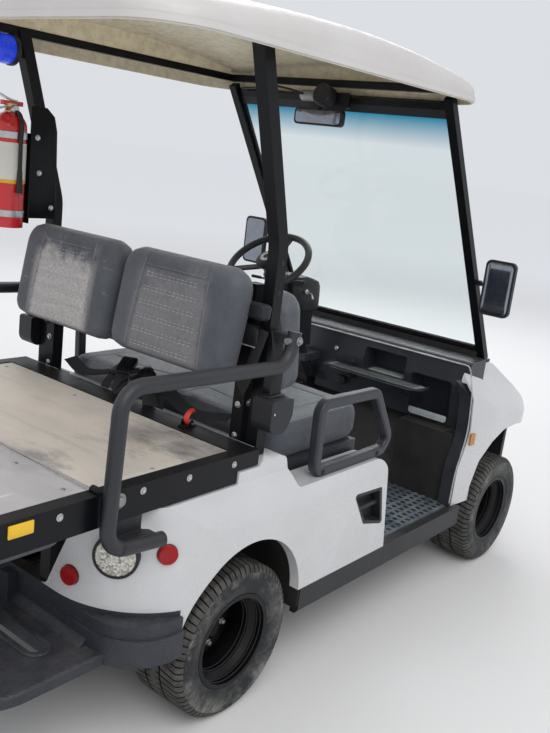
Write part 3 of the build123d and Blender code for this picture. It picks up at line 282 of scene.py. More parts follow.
def prism_lens():
    """Clear lamp lens over a bright bowl: small pressed prisms, pale and yellowed."""
    g = Graph("clear_lens")
    cells = g.node("ShaderNodeTexVoronoi", {"Vector": g.coords, "Scale": 150.0})
    tint = g.node("ShaderNodeSeparateXYZ", {"Vector": cells.outputs["Color"]}).outputs[0]
    tone = g.mix(g.ramp(tint, 0.1, 0.9), (0.8, 0.78, 0.7), (0.3, 0.29, 0.24))
    g.set(Base_Color=tone, Roughness=0.12, Coat_Weight=0.8, Metallic=0.25)
    g.bump(cells.outputs["Distance"], 0.002)


def steel(name, color, rough):
    g = Graph(name)
    g.set(Base_Color=g.mix(g.noise(30, 4), color, tuple(c * 0.6 for c in color)), Metallic=1.0,
        Roughness=g.spots((80, 3), 0.3, 0.7, rough, rough + 0.2))
    g.bump(g.noise(300, 2), 0.0001)


def square_mat():
    """Rubber floor mat: rows of small raised squares, footprints of dust."""
    g = Graph("mat")
    bricks = g.node("ShaderNodeTexBrick", {"Vector": g.coords, "Scale": 1.0, "Mortar Size": 0.0085,
        "Brick Width": 0.034, "Row Height": 0.034, "Mortar Smooth": 0.1}, offset=0.0)
    for key, grey in (("Color1", 0), ("Color2", 0), ("Mortar", 1)):
        bricks.inputs[key].default_value = (grey, grey, grey, 1)
    line = bricks.outputs["Fac"]
    net = g.mix(g.spots((7, 7, 0.7), 0.4, 0.66), (0.06, 0.085, 0.105), (0.2, 0.22, 0.235))
    tone = g.mix(line, (0.018, 0.026, 0.036), net)
    g.set(Base_Color=tone, Roughness=g.spots((7, 7, 0.7), 0.4, 0.66, 0.3, 0.65))
    g.bump(line, -0.002)


def deck_board(name, color, worn, smear, scratch):
    """Cargo board: long scratches, ground-in dirt and a few pale scars."""
    g = Graph(name)
    base = g.mix(g.spots((5, 7, 0.7, (1, 0.35, 1)), 0.36, 0.68), color, worn)
    dirt = g.times(g.spots((3.2, 7, 0.72, (1, 0.5, 1)), 0.5, 0.66),
        g.ramp(g.place(1), -0.1, -0.3, smear * 0.25, smear))
    base = g.mix(dirt, base, (0.14, 0.135, 0.14))
    lines = g.spots((22, 4, 0.6, (1, 0.06, 1)), 0.6, 0.68, 0, scratch)
    base = g.mix(lines, base, tuple(c * 0.62 for c in worn))
    scars = g.spots((26, 4, 0.6, (0.08, 1, 1)), 0.66, 0.7, 0, scratch)
    base = g.mix(scars, base, (0.82, 0.8, 0.78))
    speck = g.spots((190, 2), 0.66, 0.72, 0, 0.35)
    base = g.mix(speck, base, (0.2, 0.18, 0.16))
    g.set(Base_Color=base, Roughness=g.spots((12, 5), 0.3, 0.7, 0.32, 0.6))
    g.bump(g.math("ADD", lines, g.noise(240, 3)), 0.0003)


def pebbled(name, color, worn, dust_amount):
    """Textured step plastic: a small moulded pebble all over, dust caught in it."""
    g = Graph(name)
    cells = g.node("ShaderNodeTexVoronoi", {"Vector": g.coords, "Scale": 240.0})
    pebble = g.ramp(cells.outputs["Distance"], 0.0, 0.6)
    tone = g.mix(g.spots((4, 7, 0.7), 0.38, 0.7), color, worn)
    lies = g.times(g.facing(2), g.spots((12, 8, 0.78), 0.4, 0.72, 0.04, dust_amount))
    tone = g.mix(g.times(lies, g.ramp(pebble, 0, 1, 0.4, 1)), tone, (0.34, 0.32, 0.31))
    g.set(Base_Color=tone, Roughness=g.spots((30, 4), 0.3, 0.7, 0.42, 0.62))
    g.bump(pebble, -0.0012)


def tyre_side():
    """Sidewall: dull black with brown dust in patches, thicker away from the hub."""
    g = Graph("tyre_side")
    dirt = g.times(g.spots((9, 8, 0.8), 0.44, 0.62), g.spots((90, 6, 0.8), 0.3, 0.62, 0.3, 1))
    rear, front = (g.math("SUBTRACT", g.place(0), (AXLE_X + x) * MM) for x in (0, WHEELBASE))
    along = g.math("MINIMUM", g.math("ABSOLUTE", rear), g.math("ABSOLUTE", front))
    up = g.math("SUBTRACT", g.place(2), TYRE_R * MM)
    out = g.math("SQRT", g.math("ADD", g.times(along, along), g.times(up, up)))
    dirt = g.times(dirt, g.ramp(out, 0.155, 0.2, 0.25, 1))
    tone = g.mix(dirt, (0.017, 0.0195, 0.0225), (0.26, 0.25, 0.23))
    g.set(Base_Color=tone, Roughness=g.ramp(dirt, 0, 1, 0.5, 0.9), Specular_IOR_Level=0.22)
    g.bump(g.noise(200, 5, 0.7), 0.0008)


body_white()
canopy_cream()
vinyl()
glass_sheet()
prism_lens()
square_mat()
tyre_side()
# Tone, worn tone, roughness from and to, grain's scale and depth, and then what differs
coated("black", (0.0035, 0.004, 0.0055), (0.0065, 0.007, 0.009), (0.28, 0.45), (500, 0.0001), 0.03,
    scratch=0.06, gloss=0.2)
coated("rim", (0.0025, 0.0025, 0.003), (0.006, 0.006, 0.0065), (0.3, 0.5), (260, 0.0001), patch=9, gloss=0.25)
coated("tube", (0.014, 0.015, 0.02), (0.024, 0.0255, 0.032), (0.38, 0.55), (650, 0.0004), 0.08)
coated("plastic", (0.01, 0.0108, 0.014), (0.018, 0.019, 0.0235), (0.38, 0.58), (700, 0.0003), 0.08, gloss=0.4)
coated("dash", (0.02, 0.0225, 0.03), (0.034, 0.037, 0.047), (0.36, 0.58), (800, 0.0003), 0.08)
coated("restraint", (0.018, 0.0205, 0.029), (0.032, 0.035, 0.046), (0.38, 0.56), (700, 0.0003), 0.08)
coated("red", (0.62, 0.012, 0.016), (0.5, 0.01, 0.015), (0.2, 0.35), (200, 0.0001), patch=6, coat=0.5)
coated("latch_red", (0.78, 0.05, 0.025), (0.6, 0.04, 0.025), (0.3, 0.45), (300, 0.0002), patch=14)
coated("tread", (0.04, 0.04, 0.038), (0.115, 0.11, 0.1), (0.7, 0.9), (260, 0.0009), patch=24, gloss=0.3)
coated("groove", (0.01, 0.0095, 0.009), (0.026, 0.023, 0.02), (0.8, 0.95), (220, 0.0004), patch=14, gloss=0.2)
coated("under", (0.01, 0.01, 0.011), (0.034, 0.03, 0.026), (0.55, 0.85), (60, 0.0006), 0.22)
coated("liner", (0.007, 0.007, 0.0075), (0.022, 0.02, 0.017), (0.6, 0.85), (90, 0.0005), 0.12)
coated("thread", (0.5, 0.49, 0.48), (0.28, 0.28, 0.29), (0.7, 0.9), (900, 0.0001), patch=40)
coated("webbing", (0.012, 0.012, 0.014), (0.022, 0.022, 0.025), (0.75, 0.9), (1400, 0.0006))
coated("buckle", (0.012, 0.012, 0.014), (0.02, 0.02, 0.023), (0.22, 0.4), (300, 0.0001))
coated("label", (0.74, 0.72, 0.68), (0.64, 0.62, 0.58), (0.35, 0.5), (200, 0.0001), patch=9)
coated("yellow", (0.82, 0.5, 0.02), (0.7, 0.42, 0.02), (0.25, 0.4), (300, 0.0004), patch=25)
coated("wear", (0.5, 0.49, 0.49), (0.32, 0.31, 0.32), (0.35, 0.6), (300, 0.0002), patch=30, metal=0.35)
# Pale plastic of the dash tray; on the right pocket's shelf and lip the same pale is a painted highlight.
coated("pale_plastic_and_highlight", (0.4, 0.45, 0.44), (0.28, 0.32, 0.32), (0.15, 0.3), (300, 0.0002), patch=12)
coated("rubber", (0.008, 0.008, 0.009), (0.016, 0.016, 0.017), (0.5, 0.7), (300, 0.0002))
pebbled("textured", (0.017, 0.02, 0.028), (0.032, 0.036, 0.046), 0.24)
deck_board("cream_board", (0.72, 0.65, 0.57), (0.6, 0.545, 0.48), 0.85, 0.35)
deck_board("grey_board", (0.53, 0.51, 0.51), (0.42, 0.41, 0.42), 0.35, 0.45)
steel("steel", (0.66, 0.66, 0.67), 0.22)
steel("cast", (0.42, 0.42, 0.43), 0.45)
steel("brass", (0.72, 0.55, 0.28), 0.3)
steel("mirror", (0.34, 0.37, 0.42), 0.03)
lens("blue", (0.004, 0.03, 0.62), glow=((0.0, 0.06, 1.0), 0.35))
lens("red_lens", (0.45, 0.005, 0.007), 0.25, ribs=190.0, coat=0.12, gloss=0.25)
lens("amber", (0.72, 0.27, 0.02))

NODE_PAINT = {"white": "rear_body front_cowl",
    "black": "deck_frame flip_frame seat_back_frame canopy_frame windshield_frame",
    "rim": "rear_left_rim rear_right_rim front_left_rim front_right_rim", "tube": "grab_rails",
    "plastic": "side_vents rocker_panels belt_housings battery_pack pedals steering_column steering_wheel mirrors", "liner": "wheel_liners", "textured": "rear_bumper front_bumper", "dash": "dashboard seat_base", "restraint": "hip_restraints", "canopy": "roof_canopy", "cream_board": "deck_panel", "grey_board": "flip_panel", "red": "extinguisher", "latch_red": "deck_latch", "tyre_side": "rear_left_tyre rear_right_tyre front_left_tyre front_right_tyre", "mat": "floor_mat", "under": "chassis_frame rear_axle front_axle leaf_springs left_knuckle right_knuckle rack_case floor_pan", "steel": "steering_rack", "blue": "beacon", "red_lens": "rear_reflectors", "amber": "marker_lamps", "clear_lens": "clear_lamps", "screen_glass": "windshield_glass", "vinyl": "front_cushion front_backrests rear_backrests bench_cushion",}


def paint_nodes():
    for paint, names in NODE_PAINT.items():
        for name in names.split():
            mesh = nodes[name].data
            mesh.materials.clear()
            mesh.materials.append(PAINTS[paint])


# Shapes: many small forms joined into one mesh, each with its paint
def span(low, high, count):
    """Even steps from low to high, both included."""
    return [low + (high - low) * k / count for k in range(count + 1)]


def oval(middle, across, up, wide, high, count, power=1.0, start=0.0):
    """A row of points round a middle; a lower power makes it squarer."""
    def soft(value):
        return copysign(abs(value) ** power, value)
    angles = [2 * pi * (k + start) / count for k in range(count)]
    return [middle + across * (wide * soft(cos(a))) + up * (high * soft(sin(a))) for a in angles]


def headings(path):
    """The way each point of a path faces."""
    return [(path[min(i + 1, len(path) - 1)] - path[max(i - 1, 0)]).normalized() for i in range(len(path))]


def mend(mesh, join=0.0):
    """Joins the points closer than join, in metres, and turns the faces outward."""
    work = bmesh.new()
    work.from_mesh(mesh)
    if join:
        bmesh.ops.remove_doubles(work, verts=work.verts, dist=join)
    bmesh.ops.recalc_face_normals(work, faces=work.faces)
    work.to_mesh(mesh)
    work.free()
    mesh.shade_smooth()


def frame_of(axis):
    """Two directions square to an axis, and the axis."""
    axis = Vector(axis).normalized()
    helper = Vector(UP) if abs(axis.z) < 0.9 else Vector(AHEAD)
    across = helper.cross(axis).normalized()
    return across, axis.cross(across), axis


def rounded_rect(wide, tall, radius, steps=5):
    points = []
    for cx, cy, start in ((1, 1, 0), (-1, 1, 90), (-1, -1, 180), (1, -1, 270)):
        for i in range(steps + 1):
            turn = radians(start + 90 * i / steps)
            x, y = cx * (wide / 2 - radius), cy * (tall / 2 - radius)
            points.append((x + radius * cos(turn), y + radius * sin(turn)))
    return points


class Shape:
    def __init__(self, name, body="root"):
        self.name, self.body = name, body
        self.points, self.faces, self.paints, self.used = [], [], [], []

    def index(self, paint):
        if paint not in self.used:
            self.used.append(paint)
        return self.used.index(paint)

    def rings(self, rows, paint, closed=True, caps=True, wrap=False):
        """Joins rows of as many points by quads. A row may be closed, and the last row may join the first."""
        start, count = len(self.points), len(rows[0])
        for row in rows:
            self.points += [Vector(p) for p in row]
        paint = self.index(paint)
        around = count if closed else count - 1
        for i in range(len(rows) if wrap else len(rows) - 1):
            j = (i + 1) % len(rows)
            for k in range(around):
                m = (k + 1) % count
                self.faces.append([start + n for n in (i * count + k, i * count + m, j * count + m, j * count
                    + k)])
                self.paints.append(paint)
        if caps and closed and not wrap:
            self.faces.append(tuple(start + k for k in reversed(range(count))))
            self.faces.append(tuple(start + (len(rows) - 1) * count + k for k in range(count)))
            self.paints += [paint, paint]
        return self

    def spin(self, profile, place, axis, paint, steps=32, caps=True):
        """A profile of (radius, height) turned about an axis."""
        across, up, axis = frame_of(axis)
        return self.rings([oval(Vector(place) + axis * h, across, up, r, r, steps) for r, h in profile], paint,
            caps=caps)

    def slab(self, outline, place, across, up, thick, paint, edge=1, crown=0):
        """A flat outline made thick, with rounded edges. It grows from place along across x up."""
        across, up = Vector(across).normalized(), Vector(up).normalized()
        out = across.cross(up)
        middle = Vector((sum(p[0] for p in outline), sum(p[1] for p in outline))) / len(outline)

        def row(inset, height):
            made = []
            for p in outline:
                away = Vector(p) - middle
                q = middle + away * max(0.0, 1 - inset / max(away.length, 1e-6))
                made.append(Vector(place) + across * q.x + up * q.y + out * height)
            return made
        rows = [row(edge, 0), row(edge * 0.3, edge * 0.3), row(0, edge), row(0, thick - edge),
            row(edge * 0.3, thick - edge * 0.3), row(edge, thick)]
        if crown:
            size = min((Vector(p) - middle).length for p in outline)
            rows += [row(size * s, thick + crown * (1 - (1 - s) ** 2)) for s in (0.3, 0.6, 0.9)]
        return self.rings(rows, paint)

    def plate(self, size, *about):
        """A slab on a rounded rectangle: width, height, radius and steps in a corner."""
        return self.slab(rounded_rect(*size), *about)

    def tube(self, path, radius, paint, steps=12):
        """A round bar along a path of points."""
        path = [Vector(p) for p in path]
        radii = radius if isinstance(radius, (list, tuple)) else [radius] * len(path)
        rows, side = [], None
        for p, ahead, r in zip(path, headings(path), radii):
            side = frame_of(ahead)[0] if side is None else (side - ahead * side.dot(ahead)).normalized()
            rows.append(oval(p, side, ahead.cross(side), r, r, steps))
        return self.rings(rows, paint)

    def strap(self, path, width, thick, across, paint):
        """Flat webbing along a path; across is the way its width lies."""
        path, across = [Vector(p) for p in path], Vector(across)
        section = ((-1, -0.4), (-0.96, -1), (0.96, -1), (1, -0.4), (1, 0.4), (0.96, 1), (-0.96, 1), (-1, 0.4))
        rows = []
        for p, ahead in zip(path, headings(path)):
            wide = (across - ahead * across.dot(ahead)).normalized()
            up = ahead.cross(wide)
            rows.append([p + wide * (width / 2 * a) + up * (thick / 2 * b) for a, b in section])
        return self.rings(rows, paint)

    def bolt(self, place, axis, radius, height, paint="steel", sides=6):
        """A bolt head on its washer, with a rounded top."""
        r = radius
        self.spin([(r * 1.55, 0), (r * 1.55, height * 0.22), (r * 1.45, height * 0.3)], place, axis, paint, 20)
        return self.spin([(r, height * 0.2), (r, height * 0.82), (r * 0.86, height)], place, axis, paint, sides)

    def make(self, angle=38):
        mesh = bpy.data.meshes.new(self.name)
        mesh.from_pydata([tuple(c * MM for c in p) for p in self.points], [], self.faces)
        for paint in self.used:
            mesh.materials.append(PAINTS[paint])
        mesh.polygons.foreach_set("material_index", self.paints)
        mend(mesh)
        mesh.set_sharp_from_angle(angle=radians(angle))
        piece = bpy.data.objects.new(self.name, mesh)
        bpy.context.scene.collection.objects.link(piece)
        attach(piece, self.body)
        return piece


def curve(points, steps=8):
    """A smooth line through points."""
    points = [Vector(p) for p in points]
    ends = [points[0] * 2 - points[1], *points, points[-1] * 2 - points[-2]]
    line = []
    for i in range(1, len(ends) - 2):
        a, b, c, d = ends[i - 1:i + 3]
        for k in range(steps):
            t = k / steps
            line.append(0.5 * ((2 * b) + (c - a) * t + (2 * a - 5 * b + 4 * c - d) * t * t
                + (3 * b - a - 3 * c + d) * t ** 3))
    line.append(points[-1])
    return line


# Tyres
RIM_BEADS = ((79, 128.6), (66, 128.6), (40, 112.6), (26, 112.6))   # lateral place and radius
PITCHES = 68                          # blocks round the tread
PITCH_STEPS = (0.0, 0.2, 0.4, 0.6, 0.78, 0.83, 0.95)
GROOVE_FROM, GROOVE_TO = 0.8, 0.98   # the cross groove's share of a pitch
GROOVE_DEEP = 6.5
RIB_OUT = 26                       # edge of the middle ribs
TYRE_SIDE = [  # lateral, radius: bead, sidewall and shoulder
    (83, 136), (89.5, 142.5), (92.5, 144.5), (95, 150), (96.8, 151.2), (97.8, 154.5),
    (97, 158), (99, 166), (101.5, 178), (102.4, 188), (102, 197), (100.8, 204),
    (101.2, 206.2), (99.6, 208.5), (97.8, 213), (95.5, 218), (92.5, 221.5),
]
TREAD = [88.5, 84.5, 79, 68, 56, 44, 32.5, 31.5, 26.5, 25.5, 16, 12, 0]


def make_tyre(end, side_name):
    side = SIDES[side_name]
    x, y = WHEELS[end]
    lateral = [p[0] for p in TYRE_SIDE] + TREAD
    round_r = [p[1] for p in TYRE_SIDE] + [TYRE_R - 1.8 * (l / 88.5) ** 2 - (2.2 if l > 86 else 0)
        for l in TREAD]
    lateral = lateral + [-l for l in reversed(lateral[:-1])]
    round_r = round_r + list(reversed(round_r[:-1]))
    shape = Shape(f"{end}_{side_name}_tyre_form", f"{end}_{side_name}_wheel")
    turns = [(p + s) / PITCHES for p in range(PITCHES) for s in PITCH_STEPS]
    rows = []
    for turn in turns:
        part = (turn * PITCHES) % 1.0
        row = []
        for l, r in zip(lateral, round_r):
            a = abs(l)
            lean = 0.55 * (a - 30) / 60 + (0.5 if l < 0 else 0.0)
            angle = 2 * pi * (turn + lean / PITCHES)
            deep = 0
            if RIB_OUT < a < 32:
                deep = GROOVE_DEEP
            elif GROOVE_FROM < part < GROOVE_TO and a >= 31.5:
                deep = GROOVE_DEEP * min(1.0, max(0.0, (r - 210.5) / 12))
            elif GROOVE_FROM < part < GROOVE_TO and 12 < a < 26.2:
                deep = GROOVE_DEEP * 0.6
            r = r - deep
            pull = deep * 0.35 * min(1.0, max(0.0, (a - 80) / 10))
            place = at(x + r * cos(angle), side * (y + copysign(a - pull, l)), TYRE_R + r * sin(angle))
            row.append(place)
        rows.append(row)
    shape.rings(rows, "tyre_side", closed=False, caps=False, wrap=True)
    tread, groove = shape.index("tread"), shape.index("groove")
    across = len(lateral) - 1
    first = len(TYRE_SIDE) - 4
    for i in range(len(rows)):
        part = (PITCH_STEPS[i % len(PITCH_STEPS)] + PITCH_STEPS[(i + 1) % len(PITCH_STEPS)]) / 2
        if (i + 1) % len(PITCH_STEPS) == 0:
            part = (PITCH_STEPS[-1] + 1) / 2
        for k in range(first, across - first):
            a = (abs(lateral[k]) + abs(lateral[k + 1])) / 2
            sunk = (0.78 < part and (a > 31.5 or 12 < a < 26.2)) or 25.5 < a < 32.5
            shape.paints[i * across + k] = groove if sunk else tread
    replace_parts(shape.make(30), f"{end}_{side_name}_tyre")


def make_wheel_hardware():
    """Bright lug nuts, hub caps and valve stems on each wheel."""
    for end, (x, y) in WHEELS.items():
        for side_name, side in SIDES.items():
            shape = Shape(f"{end}_{side_name}_hardware", f"{end}_{side_name}_wheel")
            face = y - 22
            out = Vector((0, side, 0))
            for i in range(4):
                turn = radians(90 * i)
                nut = at(x + 50.8 * cos(turn), side * (face - 1), TYRE_R + 50.8 * sin(turn))
                shape.spin([(14.5, 0), (14.5, 2), (12.5, 4.5)], nut, out, "steel", 24)
                shape.spin([(12.2, 4), (12.2, 18), (10.5, 20.5), (7.5, 21.5)], nut, out, "steel", 6)
                shape.spin([(7.2, 21), (7.2, 26.5), (5.5, 28)], nut, out, "cast", 16)
            for lateral, radius in RIM_BEADS:
                ring = [at(x + radius * cos(a), side * (y + lateral), TYRE_R + radius * sin(a))
                    for a in [2 * pi * k / 64 for k in range(65)]]
                shape.tube(ring, 1.4, "tube", 6)
            cap = at(x, side * (face + 12), TYRE_R)
            if end == "front":
                shape.spin([(33.5, -2), (33.5, 18), (32, 21.5), (28.5, 24), (26.5, 26.5), (18, 29), (9, 30)],
                    cap, out, "label", 40)
            else:
                shape.spin([(32.5, -2), (32.5, 2), (31, 3.5), (30.5, 6)], cap, out, "cast", 40, caps=False)
            stem = at(x + 107 * cos(2.5), side * (face + 4), TYRE_R + 107 * sin(2.5))
            shape.tube([stem, stem + out * 16, stem + out * 30 + Vector((4, 0, 0))], 4.5, "rubber", 10)
            shape.make()


# Upholstery
WELD = 0.0002          # metres


def spaced(half_low, half_high, step, seams, near=(1.8, 4.5, 9)):
    """Places across a pad, with more of them at its seams."""
    marks = {half_low, half_high}
    for seam in seams:
        marks |= {seam} | {seam + s * d for s in (1, -1) for d in near}
    marks = sorted(m for m in marks if half_low <= m <= half_high)
    line = [marks[0]]
    for mark in marks[1:]:
        gap = mark - line[-1]
        if gap < 0.8:
            continue
        line += span(line[-1], mark, max(1, round(gap / step)))[1:]
    return line


class Pad:
    """A stuffed form on a rounded outline: sides half_wide and half_tall, a front and a back face."""

    def __init__(self, half_wide, half_tall, thick, corners, edge, crown, seams_u, seams_v, step=11):
        self.a, self.b, self.thick = half_wide, half_tall, thick
        self.corners, self.edge, self.crown = corners, edge, crown
        self.us = spaced(-half_wide, half_wide, step, seams_u)
        self.vs = spaced(-half_tall, half_tall, step, seams_v)

    def outline(self, u, v):
        """The place on the rounded outline's disc, and how far inside its edge."""
        r = self.corners[1 if v > 0 else 0]
        inner_a, inner_b = self.a - r, self.b - r
        qu, qv = max(-inner_a, min(inner_a, u)), max(-inner_b, min(inner_b, v))
        du, dv = (u - qu) / r, (v - qv) / r
        pu, pv = du * sqrt(1 - dv * dv / 2), dv * sqrt(1 - du * du / 2)
        x, y = qu + pu * r, qv + pv * r
        if abs(du) > 0 and abs(dv) > 0:
            inside = r * (1 - hypot(pu, pv))
        else:
            inside = min(self.a - abs(x), self.b - abs(y))
        return x, y, max(0.0, inside)

    def face(self, u, v, share, sink):
        """A face's place: share of the thickness, rounded at the edge, crowned, and sunk at the seams."""
        x, y, inside = self.outline(u, v)
        edge = self.edge
        t = min(1.0, inside / edge)
        rise = sqrt(max(0.0, 1 - (1 - t) ** 2))
        bulge = (1 - (x / self.a) ** 2) * (1 - (y / self.b) ** 2)
        height = self.thick / 2 - edge + edge * rise + self.crown * sqrt(max(0, bulge))
        return x, y, share * (height - sink(x, y, inside))

    def add(self, shape, place, paint, sink_front, sink_back=lambda x, y, i: 0):
        """Adds the pad to a shape; place turns (across, up, out) into the shared frame."""
        rows_front = [[place(*self.face(u, v, 1, sink_front)) for u in self.us] for v in self.vs]
        rows_back = [[place(*self.face(u, v, -1, sink_back)) for u in self.us] for v in self.vs]
        shape.rings(rows_front, paint, closed=False, caps=False)
        shape.rings([list(reversed(row)) for row in rows_back], paint, closed=False, caps=False)

        def rim(rows):
            return (rows[0][:-1] + [row[-1] for row in rows[:-1]] + list(reversed(rows[-1]))[:-1]
                + [row[0] for row in reversed(rows)][:-1])
        front, back = rim(rows_front), rim(rows_back)
        shape.rings([[f.lerp(b, k / 4) for f, b in zip(front, back)] for k in range(5)], paint, caps=False)


def valley(distance, width, depth):
    return depth * exp(-(distance / width) ** 2)


def weld(piece):
    mend(piece.data, WELD)
    return piece


def stitches(shape, line, length=6.2, gap=3.6, radius=0.8):
    """Short threads lying along a line of points."""
    line = [Vector(p) for p in line]
    run = 0
    starts = []
    for a, b in zip(line, line[1:]):
        span = (b - a).length
        while run < span:
            starts.append(a.lerp(b, run / span) if span else a)
            run += length + gap
        run -= span
    for start, after in zip(starts, starts[1:]):
        ahead = (after - start).normalized() * length
        shape.tube([start + ahead * share for share in (0, 0.2, 0.8, 1)],
            (radius * 0.4, radius, radius, radius * 0.4), "thread", 5)


BACK_WIDTHS = {"rear": (229, 238), "front": (241, 244)}     # half width, |y| of the middle
PANEL_HALF = 130
STITCH_ROWS = 6
FINE_STITCH = (5, 3, 0.6)     # length, gap, radius
THREAD_LIFT = 0.6
FADE_IN = 30                  # the seams begin this far inside the edge
REAR_PAD = ((-76, 988), (-24, 1278), 76)     # foot and head of the rear face, thickness
FRONT_PAD = ((272, 925), (230, 1210), 112)


def back_place(foot, head, thick, mid_y, turned):
    """Turns a backrest's (across, up, out) into the shared frame; out is away from the seat's occupant's back."""
    low, high = at(foot[0], 0, foot[1]), at(head[0], 0, head[1])
    up = (high - low).normalized()
    out = Vector((up.z, 0, -up.x)) * (1 if turned else -1)
    middle = (low + high) / 2 - out * thick / 2

    def place(x, y, z):
        return middle + Vector((0, mid_y + (x if turned else -x), 0)) + up * y + out * z
    return place, (high - low).length / 2 + 4


def make_backrest(end, foot, head, thick, turned):
    """Two backrests with a sewn panel each: side seams, one across near the top, and rows of stitches."""
    name, (half_wide, mid_y) = f"{end}_backrest_pads", BACK_WIDTHS[end]
    shape = Shape(name)
    threads = Shape(f"{name}_stitching")
    for side in BOTH:
        place, half_tall = back_place(foot, head, thick, side * mid_y, turned)
        top = half_tall * 0.66
        rows = [half_tall * share for share in span(0.52, -0.8, STITCH_ROWS - 1)]
        pad = Pad(half_wide, half_tall, thick, (50, 66), 28, 13, (-PANEL_HALF, PANEL_HALF), (top, *rows), 12)

        def seam_x(y):
            """The side seams lean in towards the top."""
            return PANEL_HALF - 12 * (y / half_tall)

        def sink(x, y, inside):
            fade = min(1.0, inside / FADE_IN)
            deep = valley(abs(x) - seam_x(y), 4.2, 4.2)
            if abs(x) < seam_x(y):
                deep = max(deep, valley(y - top, 3.6, 3.4))
                if y < top:
                    deep += 1.5 + sum(valley(y - row, 6.5, 1.1) for row in rows)
            rough = noise.noise(Vector((x * 0.009 + side * 3, y * 0.009, 1.7)))
            return (deep - 1.8 * rough) * fade
        pad.add(shape, place, "vinyl", sink)

        def on_face(x, y):
            return place(x, y, pad.face(x, y, 1, sink)[2] + THREAD_LIFT)
        for row in rows:
            reach = seam_x(row) - 14
            for apart in (-4.5, 4.5):
                stitches(threads, [on_face(x, row + apart) for x in span(-reach, reach, 24)], 10.5, 6.5, 1)
        for x_side in (-1, 1):
            stitches(threads, [on_face(x_side * (seam_x(y) + 6.2), y)
                for y in span(-0.86 * half_tall, 0.86 * half_tall, 30)], *FINE_STITCH)
        reach = seam_x(top) - 4
        stitches(threads, [on_face(x, top + 5.5) for x in span(-reach, reach, 24)], *FINE_STITCH)
    piece = weld(shape.make())
    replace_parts(piece, f"{end}_backrests")
    threads.make()


CUSHION = (176, 668, 470, 692, 812)            # x from and to, |y|, z from and to


def make_cushion():
    """The front bench cushion: two seats with bolsters and cross seams."""
    x0, x1, half, z0, z1 = CUSHION
    mid, long_half, thick = (x0 + x1) / 2, (x1 - x0) / 2, z1 - z0
    seams_y = (0, -85, 85, -385, 385)
    seams_x = (-120, 165)
    shape = Shape("front_cushion_form")
    threads = Shape("front_cushion_stitching")
    pad = Pad(half, long_half, thick, (50, 75), 36, 6, seams_y, seams_x, 14)

    def place(x, y, z):
        return at(mid + y, -x, (z0 + z1) / 2 + z)

    def sink(x, y, inside):
        fade = min(1.0, inside / FADE_IN)
        deep = valley(x, 16, 16)
        deep += valley(abs(x) - 385, 5, 4.5) + valley(abs(x) - 85, 5, 3.5)
        if 85 < abs(x) < 385:
            deep += valley(y - 165, 5, 4) + valley(y + 120, 5, 3)
            deep += 9 * max(0.0, 1 - ((abs(x) - 235) / 150) ** 2) * max(0.0, 1 - ((y + 20) / 200) ** 2)
        return deep * fade - 2 * noise.noise(Vector((x * 0.008, y * 0.008, 4.1))) * fade
    pad.add(shape, place, "vinyl", sink)

    def on_face(x, y):
        return place(x, y, pad.face(x, y, 1, sink)[2] + THREAD_LIFT)
    for line_x in (-385, -85, 85, 385):
        stitches(threads, [on_face(line_x + 6, y) for y in span(-200, 200, 40)], *FINE_STITCH)
    for line_y in (165, -120):
        for side in BOTH:
            stitches(threads, [on_face(side * x, line_y + 6) for x in span(90, 380, 30)], *FINE_STITCH)
    piece = weld(shape.make())
    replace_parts(piece, "front_cushion")
    threads.make()


BENCH = (-929, -543, 6, 494, 665, 761)     # x from and to, |y| from and to, z from and to


def make_bench():
    """The rear bench's two cushions, under the flip panel until it turns over."""
    x0, x1, y0, y1, z0, z1 = BENCH
    shape = Shape("bench_cushion_form", "flip_deck")
    for side in BOTH:
        mid_x, mid_y, mid_z = (x0 + x1) / 2, side * (y0 + y1) / 2, (z0 + z1) / 2
        pad = Pad((y1 - y0) / 2, (x1 - x0) / 2, z1 - z0, (50, 60), 30, 2, (-150, 150), (-90, 90), 15)

        def place(x, y, z):
            return at(mid_x + y, mid_y + x, mid_z - z)

        def sink(x, y, inside):
            fade = min(1.0, inside / FADE_IN)
            deep = valley(abs(x) - 150, 5, 4)
            if abs(x) < 150:
                deep += valley(abs(y) - 90, 5, 3)
            return deep * fade
        pad.add(shape, place, "vinyl", sink, lambda x, y, inside: 2)
    piece = weld(shape.make())
    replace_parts(piece, "bench_cushion")


